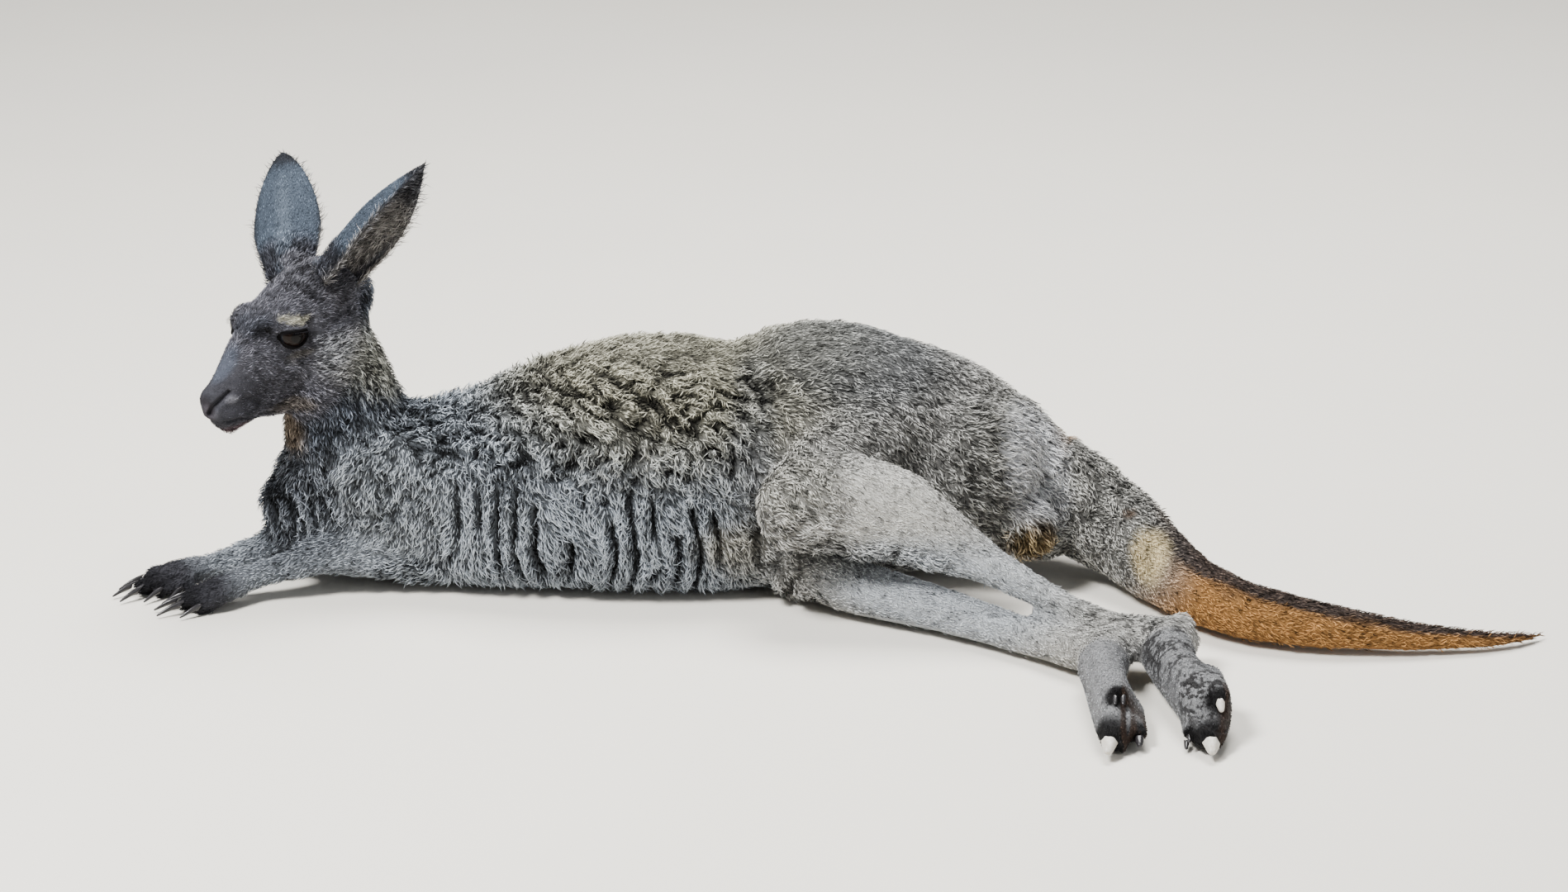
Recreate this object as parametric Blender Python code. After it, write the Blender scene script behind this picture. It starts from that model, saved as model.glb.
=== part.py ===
"""Grey kangaroo resting on its right side: one closed solid for each named part of the body.

The flesh is modelled as overlapping lofts along the bones, fused by a voxel remesh, flattened
where it meets the floor, and then parted with thin cuts. Ears, eyes and claws are pieces of
their own. Units are metres, +Z is up, and the animal looks along -X with its left side at -Y.
"""
import math

import bmesh
import bpy
from mathutils import Matrix, Vector

# ---- driving dimensions ---------------------------------------------------------------------
GAP = 0.00035             # clearance between touching pieces
VOXEL = 0.0040            # grid of the remesh that fuses the lofts
FLESH_TRIANGLES = 2450    # the fused body after decimation
SECTION_POINTS = 20       # points round each section of a loft
STEPS = 4                 # sections interpolated between two stations

# ---- placing of the head: a frame between the eyes, nose along its +X, left along its +Y ----
HEAD_PLACE = Vector((-0.516, -0.010, 0.274))
HEAD_YAW = math.radians(42)      # turned from -X toward its own left
HEAD_PITCH = math.radians(15)    # nose down
HEAD_ROLL = math.radians(-3)
EYE_RADIUS = 0.0138
# the right brow is raised, which carries the right eye a little outward
EYE_PLACES = {"left": (0.003, 0.0300, 0.0110), "right": (0.014, -0.0350, 0.0070)}

EAR_LENGTH = 0.156
EAR_SUNK = 0.018          # how far the ear starts inside the head
EAR_THICKNESS = 0.0055
EAR_ROWS = 9              # faces along the ear
EAR_COLUMNS = 6           # faces across it
EAR_ROOT_CURL = 100       # half angle of the cup at the root, degrees
EAR_CENTRING = 0.62       # the tip's line runs this share of the way from the cup's back to its rims
EAR_WIDEST = 0.40         # share of the length where the ear is widest
EAR_TAPER = 0.60          # below 1 rounds the tip, above 1 sharpens it
# root in the head frame, direction of the tip and of the opening in the world, half angle of
# the cup in degrees, half of the width laid flat, and width at the root as a share of it
EARS = {
    "ear_left": ((-0.066, 0.041, 0.0555), (0.625, -0.030, 0.800), (0.86, -0.50, 0.05), 88, 0.051, 0.86),
    "ear_right": ((-0.055, -0.040, 0.037), (-0.080, 0.720, 0.680), (0.22, 0.75, -0.62), 45, 0.040, 0.80),
}
NOSE_PLACE = (0.100, 0, -0.033)
NOSE_RADII = (0.015, 0.018, 0.016)

# ---- fingers, claws and nails ---------------------------------------------------------------
HANDS = {
    "left": {"wrist": Vector((-0.561, -0.062, 0.016)), "reach": Vector((-0.940, -0.340, 0)),
             "outer": -1, "lengths": (0.032, 0.050, 0.062, 0.064, 0.044)},
    "right": {"wrist": Vector((-0.608, -0.008, 0.017)), "reach": Vector((-0.780, -0.620, 0)),
              "outer": 1, "lengths": (0.030, 0.050, 0.068, 0.066, 0.050)},
}
FINGER_SPACING = 0.0105
FINGER_RADIUS = 0.0068
FINGER_FAN = math.radians(6)
HAND_CLAW_LENGTH = 0.029
HAND_CLAW_RADIUS = 0.0044

# stations of the small toes: middle, radius across, radius in height, twist
TOES = {
    "toe_left_5": [(0.408, -0.400, 0.043, 0.018, 0.017, 0), (0.415, -0.452, 0.046, 0.013, 0.013, 0)],
    "toe_left_2_3": [(0.392, -0.430, 0.016, 0.013, 0.013, 0), (0.387, -0.470, 0.012, 0.008, 0.009, 0)],
    "toe_right_5": [(0.333, -0.420, 0.018, 0.015, 0.016, 0), (0.338, -0.468, 0.014, 0.011, 0.012, 0)],
    "toe_right_2_3": [(0.318, -0.400, 0.048, 0.012, 0.010, 0), (0.320, -0.446, 0.047, 0.009, 0.009, 0)],
}
# toe claws: root, direction, length, radius across, radius in height
TOE_CLAWS = {
    "claw_left_toe_4": ((0.405, -0.487, 0.018), (0.02, -1.0, -0.20), 0.0215, 0.0090, 0.0078),
    "claw_left_toe_5": ((0.415, -0.457, 0.046), (0.08, -1.0, -0.30), 0.0165, 0.0050, 0.0046),
    "claw_left_toe_2": ((0.384, -0.471, 0.0080), (-0.10, -1.0, -0.12), 0.0135, 0.0030, 0.0028),
    "claw_left_toe_3": ((0.387, -0.471, 0.0160), (-0.12, -1.0, -0.18), 0.0135, 0.0030, 0.0028),
    "claw_right_toe_4": ((0.310, -0.487, 0.018), (-0.14, -1.0, -0.20), 0.0215, 0.0090, 0.0078),
    "claw_right_toe_5": ((0.338, -0.471, 0.013), (0.02, -1.0, -0.10), 0.0165, 0.0055, 0.0052),
    "claw_right_toe_2": ((0.3235, -0.450, 0.0475), (-0.02, -1.0, -0.32), 0.0135, 0.0030, 0.0028),
    "claw_right_toe_3": ((0.3165, -0.450, 0.0475), (-0.08, -1.0, -0.32), 0.0135, 0.0030, 0.0028),
}
HAND_CLAW_TAPERS = (1.0, 0.75, 0.28)     # share of the radius at root, middle and end
TOE_CLAW_TAPERS = (1.0, 0.96, 0.68)
HAND_CLAW_DROOP = 0.30                   # how far the end drops, as a share of the length
TOE_CLAW_DROOP = 0.10

# ---- cuts between the parts -----------------------------------------------------------------
FLOOR_DEPTH = 0.1         # thickness of the block that flattens the underside
FLOOR_SIDE = 3.0

# regions that follow a limb: each is the limb's own loft, grown so that only the trunk is cut
LIMB_MARGIN = 0.010
THIGH_MARGIN = 0.020

# cutting planes: a point on the cut, the direction of the far part, and the size of that part;
# the head's cut is given in the head frame
CUTS = {
    "head": ((-0.055, 0, -0.019), (0.70, 0, 0.714), (0.30, 0.30, 0.38)),
    "neck": ((-0.450, 0.020, 0.152), (-0.60, 0, 0.80), (0.20, 0.40, 0.36)),
    "hand_left": ((-0.551, -0.056, 0.026), (-0.93, -0.36, -0.10), (0.12, 0.058, 0.06)),
    "hand_right": ((-0.600, -0.007, 0.019), (-0.80, -0.60, 0), (0.13, 0.08, 0.06)),
    "foot_left": ((0.391, -0.302, 0.035), (0.06, -1.0, 0), (0.24, 0.088, 0.14)),
    "foot_right": ((0.311, -0.318, 0.030), (0.0, -1.0, 0), (0.24, 0.088, 0.14)),
    "tail_tip": ((0.600, -0.209, 0.020), (1.0, -0.05, 0), (0.24, 0.16, 0.10)),
    "tail_middle": ((0.478, -0.175, 0.033), (0.85, -0.50, 0), (0.24, 0.16, 0.12)),
    "tail_upper": ((0.376, -0.045, 0.045), (0.50, -0.86, 0), (0.24, 0.16, 0.14)),
    "tail_root": ((0.282, 0.048, 0.080), (0.93, -0.28, -0.22), (0.16, 0.18, 0.20)),
    "pelvis": ((-0.015, 0.0, 0.13), (1.0, 0, 0.10), (0.60, 0.70, 0.50)),
    "chest": ((-0.245, 0.0, 0.13), (-1.0, 0, 0.0), (0.45, 0.60, 0.50)),
}
CUT_ORDER = ("nose", "head", "neck", "hand_left", "hand_right", "foot_left", "foot_right", "tail_tip",
             "tail_middle", "tail_upper", "forearm_left", "forearm_right", "upper_arm_left",
             "upper_arm_right", "shank_left", "thigh_left", "shank_right", "thigh_right",
             "tail_root", "pelvis", "chest")
# the upper arms are cut out of the chest by ellipsoids: middle and radii
SHOULDERS = {
    "upper_arm_left": ((-0.403, -0.048, 0.100), (0.070, 0.058, 0.085)),
    "upper_arm_right": ((-0.403, 0.112, 0.100), (0.070, 0.058, 0.085)),
}
# last station of the shanks' regions, inside the feet
ANKLES = {
    "left": (0.400, -0.280, 0.036, 0.040, 0.040, 0),
    "right": (0.330, -0.297, 0.030, 0.036, 0.038, 0),
}

# ---- finishes: the start of a node's name, material name, sRGB colour, roughness ------------
FINISHES = (
    ("eye", "eye_dark", "1d1512", 0.10),
    ("nose", "nose_skin", "5d5054", 0.45),
    ("ear", "fur_ear", "59606b", 0.90),
    ("head", "fur_head", "73696b", 0.90),
    ("neck", "fur_neck", "77787d", 0.95),
    ("chest", "fur_flank", "8c8a86", 0.95),
    ("abdomen", "fur_flank", "8c8a86", 0.95),
    ("pelvis", "fur_rump", "958e82", 0.95),
    ("thigh", "fur_rump", "958e82", 0.95),
    ("upper_arm", "fur_foreleg", "8d9398", 0.95),
    ("forearm", "fur_foreleg", "8d9398", 0.95),
    ("hand", "hand_skin", "312f31", 0.70),
    ("shank", "fur_shank", "a09d97", 0.92),
    ("foot", "fur_foot", "86817c", 0.90),
    ("tail", "fur_tail", "8a7462", 0.92),
    ("claw_left_toe_4", "horn_pale", "cfc5b2", 0.40),
    ("claw_left_toe_5", "horn_pale", "cfc5b2", 0.40),
    ("claw_right_toe_4", "horn_pale", "cfc5b2", 0.40),
    ("claw", "horn_dark", "2b2a2d", 0.35),
)
SHARP_EDGE = math.radians(50)    # edges bent more than this stay sharp


def head_matrix():
    """World placement of the head frame."""
    forward = Vector((-math.cos(HEAD_PITCH) * math.cos(HEAD_YAW),
                      -math.cos(HEAD_PITCH) * math.sin(HEAD_YAW),
                      -math.sin(HEAD_PITCH)))
    left = Vector((math.sin(HEAD_YAW), -math.cos(HEAD_YAW), 0))
    left.rotate(Matrix.Rotation(HEAD_ROLL, 3, forward))
    up = forward.cross(left)
    frame = Matrix((forward, left, up)).transposed().to_4x4()
    frame.translation = HEAD_PLACE
    return frame


HEAD = head_matrix()


# ---- shared modelling helpers ---------------------------------------------------------------
def new_object(name, mesh_builder):
    """A linked object whose mesh is what the bmesh holds; the bmesh is freed."""
    mesh = bpy.data.meshes.new(name)
    mesh_builder.normal_update()
    bmesh.ops.recalc_face_normals(mesh_builder, faces=mesh_builder.faces)
    mesh_builder.to_mesh(mesh)
    mesh_builder.free()
    shape = bpy.data.objects.new(name, mesh)
    bpy.context.collection.objects.link(shape)
    return shape


def remove(shape):
    bpy.data.objects.remove(shape, do_unlink=True)


def apply_modifiers(shape):
    """Bake the object's modifier stack into its mesh."""
    depsgraph = bpy.context.evaluated_depsgraph_get()
    baked = bpy.data.meshes.new_from_object(shape.evaluated_get(depsgraph))
    shape.modifiers.clear()
    shape.data = baked


def blend_value(before, start, end, after, t):
    """Catmull-Rom value between start and end."""
    return 0.5 * (2 * start + (end - before) * t
                  + (2 * before - 5 * start + 4 * end - after) * t ** 2
                  + (3 * start - before - 3 * end + after) * t ** 3)


def smooth_stations(stations, steps):
    """Stations with interpolated ones between each pair."""
    padded = [stations[0], *stations, stations[-1]]
    dense = []
    for place in range(1, len(padded) - 2):
        window = padded[place - 1:place + 3]
        for step in range(steps):
            dense.append([blend_value(*values, step / steps) for values in zip(*window)])
    dense.append(list(stations[-1]))
    return dense


def signed_power(value, exponent):
    return math.copysign(abs(value) ** exponent, value)


def section(middle, side, up, half_width, half_height, fullness, count):
    """Points round an oval; fullness above 1 squares off its lower half."""
    points = []
    for index in range(count):
        angle = math.tau * index / count
        power = 1.0 if math.sin(angle) > 0 else 1 / fullness
        across = signed_power(math.cos(angle), power) * half_width
        height = signed_power(math.sin(angle), power) * half_height
        points.append(middle + side * across + up * height)
    return points


def loft(name, stations, up=(0, 0, 1), fullness=1.0, frame=None, count=SECTION_POINTS, steps=STEPS,
         dome=(75, 50, 25)):
    """Closed rounded tube through stations of (x, y, z, half width, half height, roll degrees)."""
    dense = smooth_stations(stations, steps)
    middles = [Vector(station[:3]) for station in dense]
    tangents = []
    for index in range(len(dense)):
        ahead = middles[min(index + 1, len(dense) - 1)]
        behind = middles[max(index - 1, 0)]
        tangents.append((ahead - behind).normalized())
    rows = []
    for middle, tangent, station in zip(middles, tangents, dense):
        side = Vector(up).cross(tangent).normalized()
        lift = tangent.cross(side)
        side.rotate(Matrix.Rotation(math.radians(station[5]), 3, tangent))
        lift.rotate(Matrix.Rotation(math.radians(station[5]), 3, tangent))
        rows.append((middle, side, lift, station[3], station[4]))
    rings = [round_end(rows[0], -tangents[0], turn) for turn in dome]
    rings += rows
    rings += [round_end(rows[-1], tangents[-1], turn) for turn in reversed(dome)]
    builder = bmesh.new()
    loops = []
    for ring in rings:
        points = section(*ring, fullness, count)
        corners = [builder.verts.new(frame @ point if frame else point) for point in points]
        edges = [builder.edges.new((corners[i - 1], corners[i])) for i in range(len(corners))]
        loops.append(edges)
    for first, second in zip(loops, loops[1:]):
        bmesh.ops.bridge_loops(builder, edges=first + second)
    bmesh.ops.holes_fill(builder, edges=loops[0] + loops[-1], sides=0)
    return new_object(name, builder)


def round_end(row, outward, turn_degrees):
    """One section of a domed end."""
    middle, side, lift, half_width, half_height = row
    turn = math.radians(turn_degrees)
    reach = min(half_width, half_height) * math.sin(turn)
    return middle + outward * reach, side, lift, half_width * math.cos(turn), half_height * math.cos(turn)


def bulge(name, middle, radii, turn=(0, 0, 0), frame=None):
    """Ellipsoid, turned by degrees about X, Y and Z."""
    builder = bmesh.new()
    bmesh.ops.create_uvsphere(builder, u_segments=16, v_segments=8, radius=1.0)
    spin = Matrix.Identity(4)
    for angle, axis in zip(turn, "XYZ"):
        spin = Matrix.Rotation(math.radians(angle), 4, axis) @ spin
    shape = Matrix.Translation(middle) @ spin @ Matrix.Diagonal((*radii, 1))
    builder.transform(frame @ shape if frame else shape)
    return new_object(name, builder)


# ---- the flesh as lofts along the bones -----------------------------------------------------
def trunk_lofts():
    """Rib cage, belly and rump, rolled over onto the right side and sagging on the floor."""
    return [
        loft("torso", [
            (-0.470, 0.030, 0.090, 0.062, 0.080, 0),
            (-0.430, 0.032, 0.098, 0.080, 0.095, 0),
            (-0.360, 0.032, 0.098, 0.092, 0.097, 0),
            (-0.280, 0.028, 0.109, 0.104, 0.111, 0),
            (-0.200, 0.022, 0.126, 0.113, 0.129, 0),
            (-0.130, 0.022, 0.134, 0.117, 0.137, 0),
            (-0.050, 0.026, 0.128, 0.114, 0.131, 0),
            (0.030, 0.040, 0.138, 0.114, 0.140, 0),
            (0.100, 0.048, 0.130, 0.112, 0.130, 0),
            (0.170, 0.052, 0.116, 0.102, 0.114, 0),
            (0.230, 0.052, 0.098, 0.084, 0.092, 0),
            (0.275, 0.048, 0.080, 0.060, 0.068, 0),
        ], fullness=1.6),
        bulge("buttock", (0.185, 0.005, 0.125), (0.088, 0.085, 0.088)),
        bulge("vent", (0.250, -0.035, 0.072), (0.034, 0.034, 0.036)),
        bulge("breast", (-0.492, 0.015, 0.082), (0.056, 0.050, 0.048)),
        bulge("shoulder_left", (-0.405, -0.014, 0.118), (0.070, 0.046, 0.066)),
        bulge("shoulder_right", (-0.405, 0.078, 0.115), (0.070, 0.046, 0.066)),
    ]


def neck_loft():
    """Upright neck; its sections are wide along X and narrower across."""
    return loft("neck", [
        (-0.430, 0.036, 0.095, 0.080, 0.090, 0),
        (-0.446, 0.028, 0.150, 0.064, 0.076, 0),
        (-0.456, 0.016, 0.200, 0.055, 0.063, 0),
        (-0.467, 0.014, 0.245, 0.051, 0.056, 0),
        (-0.475, 0.020, 0.280, 0.040, 0.048, 0),
    ], up=(1, 0, 0))


def head_lofts():
    """Skull, brows, cheeks, jaw and muzzle in the head frame."""
    skull = loft("skull", [
        (-0.088, 0, 0.004, 0.034, 0.040, 0),
        (-0.066, 0, 0.008, 0.042, 0.047, 0),
        (-0.038, 0, 0.004, 0.046, 0.052, 0),
        (-0.010, 0, -0.006, 0.044, 0.053, 0),
        (0.016, 0, -0.013, 0.040, 0.048, 0),
        (0.038, 0, -0.022, 0.032, 0.042, 0),
        (0.060, 0, -0.031, 0.0260, 0.035, 0),
        (0.080, 0, -0.037, 0.0225, 0.030, 0),
        (0.092, 0, -0.039, 0.018, 0.024, 0),
    ], frame=HEAD)
    pieces = [
        skull,
        bulge("jaw", (0.052, 0, -0.055), (0.044, 0.017, 0.0165), turn=(0, 4, 0), frame=HEAD),
        bulge("chin", (0.078, 0, -0.064), (0.022, 0.012, 0.012), frame=HEAD),
        bulge("jaw_root", (0.022, 0, -0.058), (0.034, 0.024, 0.019), frame=HEAD),
        bulge("brow_left", (0.010, 0.032, 0.029), (0.030, 0.015, 0.011), frame=HEAD),
        bulge("brow_right", (0.016, -0.036, 0.018), (0.028, 0.0145, 0.014), frame=HEAD),
        bulge("orbit_right", (0.010, -0.033, 0.002), (0.026, 0.014, 0.016), frame=HEAD),
    ]
    for name, side in (("left", 1), ("right", -1)):
        pieces += [
            bulge("cheek_" + name, (-0.024, side * 0.030, -0.026), (0.036, 0.019, 0.032), frame=HEAD),
            bulge("lip_" + name, (0.074, side * 0.013, -0.049), (0.030, 0.013, 0.015), frame=HEAD),
            bulge("ear_root_" + name, (-0.060, side * 0.036, 0.036), (0.022, 0.018, 0.022), frame=HEAD),
        ]
    return pieces


def foreleg_stations():
    """Both forelegs, stretched forward along the floor; the hands' palms end them."""
    return {
        "upper_arm_left": [
            (-0.425, -0.018, 0.125, 0.046, 0.050, 0),
            (-0.395, -0.024, 0.080, 0.038, 0.043, 0),
            (-0.374, -0.012, 0.040, 0.034, 0.036, 0),
        ],
        "forearm_left": [
            (-0.370, -0.006, 0.036, 0.032, 0.034, 0),
            (-0.420, -0.018, 0.043, 0.030, 0.031, 0),
            (-0.468, -0.028, 0.041, 0.024, 0.0225, 0),
            (-0.510, -0.043, 0.034, 0.018, 0.017, 0),
            (-0.550, -0.056, 0.025, 0.0165, 0.0145, 0),
            (-0.572, -0.070, 0.0195, 0.021, 0.015, 0),
            (-0.594, -0.080, 0.0135, 0.023, 0.0120, 0),
        ],
        "upper_arm_right": [
            (-0.425, 0.090, 0.115, 0.044, 0.048, 0),
            (-0.422, 0.076, 0.075, 0.038, 0.043, 0),
            (-0.420, 0.062, 0.042, 0.034, 0.036, 0),
        ],
        "forearm_right": [
            (-0.420, 0.066, 0.034, 0.030, 0.034, 0),
            (-0.470, 0.042, 0.038, 0.028, 0.032, 0),
            (-0.515, 0.022, 0.036, 0.024, 0.026, 0),
            (-0.560, 0.004, 0.028, 0.019, 0.019, 0),
            (-0.600, -0.007, 0.0195, 0.0165, 0.0150, 0),
            (-0.624, -0.021, 0.0175, 0.021, 0.0150, 0),
            (-0.642, -0.036, 0.0135, 0.023, 0.0120, 0),
        ],
    }


def hind_leg_stations():
    """The left hind leg on top, the right one under it, both feet pointing to -Y."""
    return {
        "thigh_left": [
            (0.150, 0.040, 0.155, 0.070, 0.085, 0),
            (0.100, -0.015, 0.155, 0.066, 0.080, 0),
            (0.050, -0.070, 0.140, 0.056, 0.064, 0),
            (0.010, -0.112, 0.122, 0.042, 0.048, 0),
        ],
        "shank_left": [
            (0.008, -0.118, 0.118, 0.038, 0.042, 0),
            (0.060, -0.122, 0.126, 0.040, 0.054, 0),
            (0.110, -0.132, 0.119, 0.034, 0.054, 0),
            (0.155, -0.148, 0.101, 0.027, 0.040, 0),
            (0.200, -0.170, 0.083, 0.021, 0.0255, 0),
            (0.240, -0.195, 0.068, 0.0175, 0.019, 0),
            (0.287, -0.222, 0.051, 0.016, 0.0165, 0),
            (0.330, -0.250, 0.041, 0.020, 0.019, 0),
            (0.372, -0.272, 0.036, 0.026, 0.028, 0),
        ],
        "foot_left": [
            (0.392, -0.258, 0.036, 0.024, 0.027, 0),
            (0.378, -0.295, 0.035, 0.029, 0.030, 0),
            (0.380, -0.345, 0.034, 0.024, 0.030, 0),
            (0.390, -0.390, 0.033, 0.024, 0.031, 0),
            (0.402, -0.425, 0.029, 0.029, 0.029, 0),
            (0.405, -0.455, 0.022, 0.024, 0.022, 0),
            (0.405, -0.482, 0.0175, 0.018, 0.018, 0),
        ],
        "thigh_right": [
            (0.150, 0.040, 0.065, 0.075, 0.060, 0),
            (0.080, -0.005, 0.056, 0.060, 0.052, 0),
            (0.025, -0.045, 0.042, 0.044, 0.042, 0),
        ],
        "shank_right": [
            (0.020, -0.052, 0.040, 0.042, 0.039, 0),
            (0.060, -0.085, 0.031, 0.038, 0.031, 0),
            (0.100, -0.113, 0.0275, 0.034, 0.0285, 0),
            (0.150, -0.145, 0.025, 0.029, 0.026, 0),
            (0.200, -0.185, 0.0235, 0.024, 0.0240, 0),
            (0.245, -0.225, 0.022, 0.020, 0.0225, 0),
            (0.285, -0.262, 0.024, 0.022, 0.0245, 0),
            (0.314, -0.285, 0.027, 0.027, 0.0275, 0),
        ],
        "foot_right": [
            (0.326, -0.272, 0.029, 0.024, 0.026, 0),
            (0.314, -0.305, 0.029, 0.028, 0.029, 0),
            (0.311, -0.350, 0.029, 0.023, 0.029, 0),
            (0.313, -0.395, 0.028, 0.022, 0.028, 0),
            (0.316, -0.425, 0.027, 0.024, 0.027, 0),
            (0.315, -0.455, 0.022, 0.021, 0.0215, 0),
            (0.314, -0.482, 0.0175, 0.018, 0.018, 0),
        ],
    }


def leg_lofts():
    """All four legs; the upright upper arms take X as their reference for height."""
    pieces = []
    for name, stations in (foreleg_stations() | hind_leg_stations()).items():
        upright = (1, 0, 0) if name.startswith("upper_arm") else (0, 0, 1)
        pieces.append(loft(name, stations, up=upright))
    return pieces


def tail_loft():
    """Thick root dropping to the floor, then a tapering curve along it."""
    return loft("tail", [
        (0.235, 0.055, 0.102, 0.066, 0.074, 0),
        (0.292, 0.044, 0.080, 0.052, 0.062, 0),
        (0.340, 0.010, 0.059, 0.046, 0.053, 0),
        (0.380, -0.054, 0.044, 0.040, 0.0445, 0),
        (0.414, -0.119, 0.0365, 0.0345, 0.0370, 0),
        (0.455, -0.166, 0.0325, 0.0320, 0.0330, 0),
        (0.498, -0.190, 0.0295, 0.0295, 0.0300, 0),
        (0.538, -0.202, 0.0262, 0.0265, 0.0267, 0),
        (0.579, -0.207, 0.0226, 0.023, 0.0230, 0),
        (0.620, -0.210, 0.0184, 0.0188, 0.0188, 0),
        (0.662, -0.208, 0.0148, 0.0152, 0.0152, 0),
        (0.704, -0.202, 0.0116, 0.012, 0.0120, 0),
        (0.739, -0.188, 0.0086, 0.009, 0.0090, 0),
        (0.763, -0.170, 0.0058, 0.006, 0.0062, 0),
    ])


# ---- fingers, claws and nails ---------------------------------------------------------------


def fingers(side):
    """Root, direction and tip of the five fingers of one hand, thumb first."""
    hand = HANDS[side]
    reach = hand["reach"].normalized()
    outward = Vector((-reach.y, reach.x, 0)) * (1 if reach.x < 0 else -1)
    outward *= -1 if outward.y * hand["outer"] < 0 else 1
    spread = []
    for number, length in enumerate(hand["lengths"]):
        offset = number - 2
        direction = reach * math.cos(offset * FINGER_FAN) + outward * math.sin(offset * FINGER_FAN)
        root = hand["wrist"] + outward * offset * FINGER_SPACING + reach * 0.018
        tip = root + direction * (length - 0.018)
        tip.z = 0.0095
        spread.append((root, direction, tip))
    return spread


def finger_lofts():
    """Five short fingers on each hand, bent down to the floor."""
    pieces = []
    for side in HANDS:
        for number, (root, direction, tip) in enumerate(fingers(side), start=1):
            knuckle = root.lerp(tip, 0.55) + Vector((0, 0, 0.0045))
            stations = [(*root, FINGER_RADIUS, FINGER_RADIUS, 0),
                        (*knuckle, FINGER_RADIUS * 1.05, FINGER_RADIUS * 1.1, 0),
                        (*tip, FINGER_RADIUS * 0.75, FINGER_RADIUS * 0.85, 0)]
            pieces.append(loft(f"finger_{side}_{number}", stations))
    return pieces


def toe_lofts():
    """The outer toe and the thin joined pair on each foot, beside the big fourth toe."""
    return [loft(name, stations) for name, stations in TOES.items()]


def claw(name, root, direction, length, across, height, droop=HAND_CLAW_DROOP, tapers=HAND_CLAW_TAPERS):
    """Tapering horn whose spine curves down by droop times its length."""
    root = Vector(root)
    direction = Vector(direction).normalized()
    stations = []
    for step, taper in enumerate(tapers):
        share = step / (len(tapers) - 1)
        middle = root + direction * length * share
        middle.z = max(middle.z - droop * length * share ** 2, height * taper + 0.0006)
        stations.append((*middle, across * taper, height * taper, 0))
    return loft(name, stations, count=6, steps=1, dome=(60,))


def claws():
    """Every claw, started where it comes out of the flesh."""
    horns = []
    for side in HANDS:
        for number, (root, direction, tip) in enumerate(fingers(side), start=1):
            name = f"claw_{side}_finger_{number}"
            seat = tip - direction * 0.004 + Vector((0, 0, 0.0030))
            horns.append(claw(name, seat, direction, HAND_CLAW_LENGTH, HAND_CLAW_RADIUS * 0.75,
                              HAND_CLAW_RADIUS))
    for name, (root, direction, length, across, height) in TOE_CLAWS.items():
        horns.append(claw(name, root, direction, length, across, height, TOE_CLAW_DROOP,
                          TOE_CLAW_TAPERS))
    return horns


# ---- ears, eyes and nose --------------------------------------------------------------------
def ear_width(share, root_width):
    """Width of the ear as a share of its greatest, at a share of its length."""
    if share < EAR_WIDEST:
        return root_width + (1 - root_width) * math.sin(math.pi / 2 * share / EAR_WIDEST)
    return math.cos(math.pi / 2 * (share - EAR_WIDEST) / (1 - EAR_WIDEST)) ** EAR_TAPER


def ear(name, root, direction, opening, curl, half_width, root_width):
    """Cupped leaf of flesh and fur: tubular at the root, widest at mid length, pointed at the tip."""
    direction = Vector(direction).normalized()
    root = HEAD @ Vector(root) - direction * EAR_SUNK
    opening = Vector(opening)
    opening = (opening - direction * opening.dot(direction)).normalized()
    across = direction.cross(opening)
    builder = bmesh.new()
    rows = []
    for row in range(EAR_ROWS + 1):
        share = row / EAR_ROWS
        swell = ear_width(share, root_width)
        half_arc = max(0.0020, half_width * swell)
        half_angle = math.radians(EAR_ROOT_CURL + (curl - EAR_ROOT_CURL) * min(1.0, share / EAR_WIDEST))
        radius = half_arc / half_angle
        middle = EAR_CENTRING * (1 - math.cos(half_angle))
        line = []
        for column in range(EAR_COLUMNS + 1):
            turn = (2 * column / EAR_COLUMNS - 1) * half_angle
            place = root + direction * (share * EAR_LENGTH)
            place += across * radius * math.sin(turn)
            place += opening * radius * (1 - math.cos(turn) - middle)
            line.append(builder.verts.new(place))
        rows.append(line)
    for lower, upper in zip(rows, rows[1:]):
        for column in range(EAR_COLUMNS):
            builder.faces.new((lower[column], lower[column + 1], upper[column + 1], upper[column]))
    shape = new_object(name, builder)
    shell = shape.modifiers.new("Thickness", "SOLIDIFY")
    shell.thickness = EAR_THICKNESS
    shell.offset = 0
    apply_modifiers(shape)
    return shape


def ears():
    """Left ear swept back with its opening turned out, right ear upright and turned away."""
    return [ear(name, *placing) for name, placing in EARS.items()]


def eyes():
    """Two eyeballs that sit in round sockets."""
    return [bulge("eye_" + side, place, (EYE_RADIUS,) * 3, frame=HEAD)
            for side, place in EYE_PLACES.items()]


# ---- fusing and parting ---------------------------------------------------------------------
def material(name, colour_hex, roughness):
    """A plain Principled material from an sRGB hex colour, made once."""
    finish = bpy.data.materials.get(name)
    if finish:
        return finish
    finish = bpy.data.materials.new(name)
    finish.use_nodes = True
    shader = finish.node_tree.nodes["Principled BSDF"]
    channels = [int(colour_hex[i:i + 2], 16) / 255 for i in (0, 2, 4)]
    linear = [(c / 12.92) if c <= 0.04045 else ((c + 0.055) / 1.055) ** 2.4 for c in channels]
    shader.inputs["Base Color"].default_value = (*linear, 1)
    shader.inputs["Roughness"].default_value = roughness
    shader.inputs["Metallic"].default_value = 0.0
    finish.diffuse_color = (*linear, 1)
    return finish


def join(name, pieces):
    """One object holding all the pieces' meshes; the pieces are removed."""
    builder = bmesh.new()
    for piece in pieces:
        builder.from_mesh(piece.data)
        remove(piece)
    return new_object(name, builder)


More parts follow.
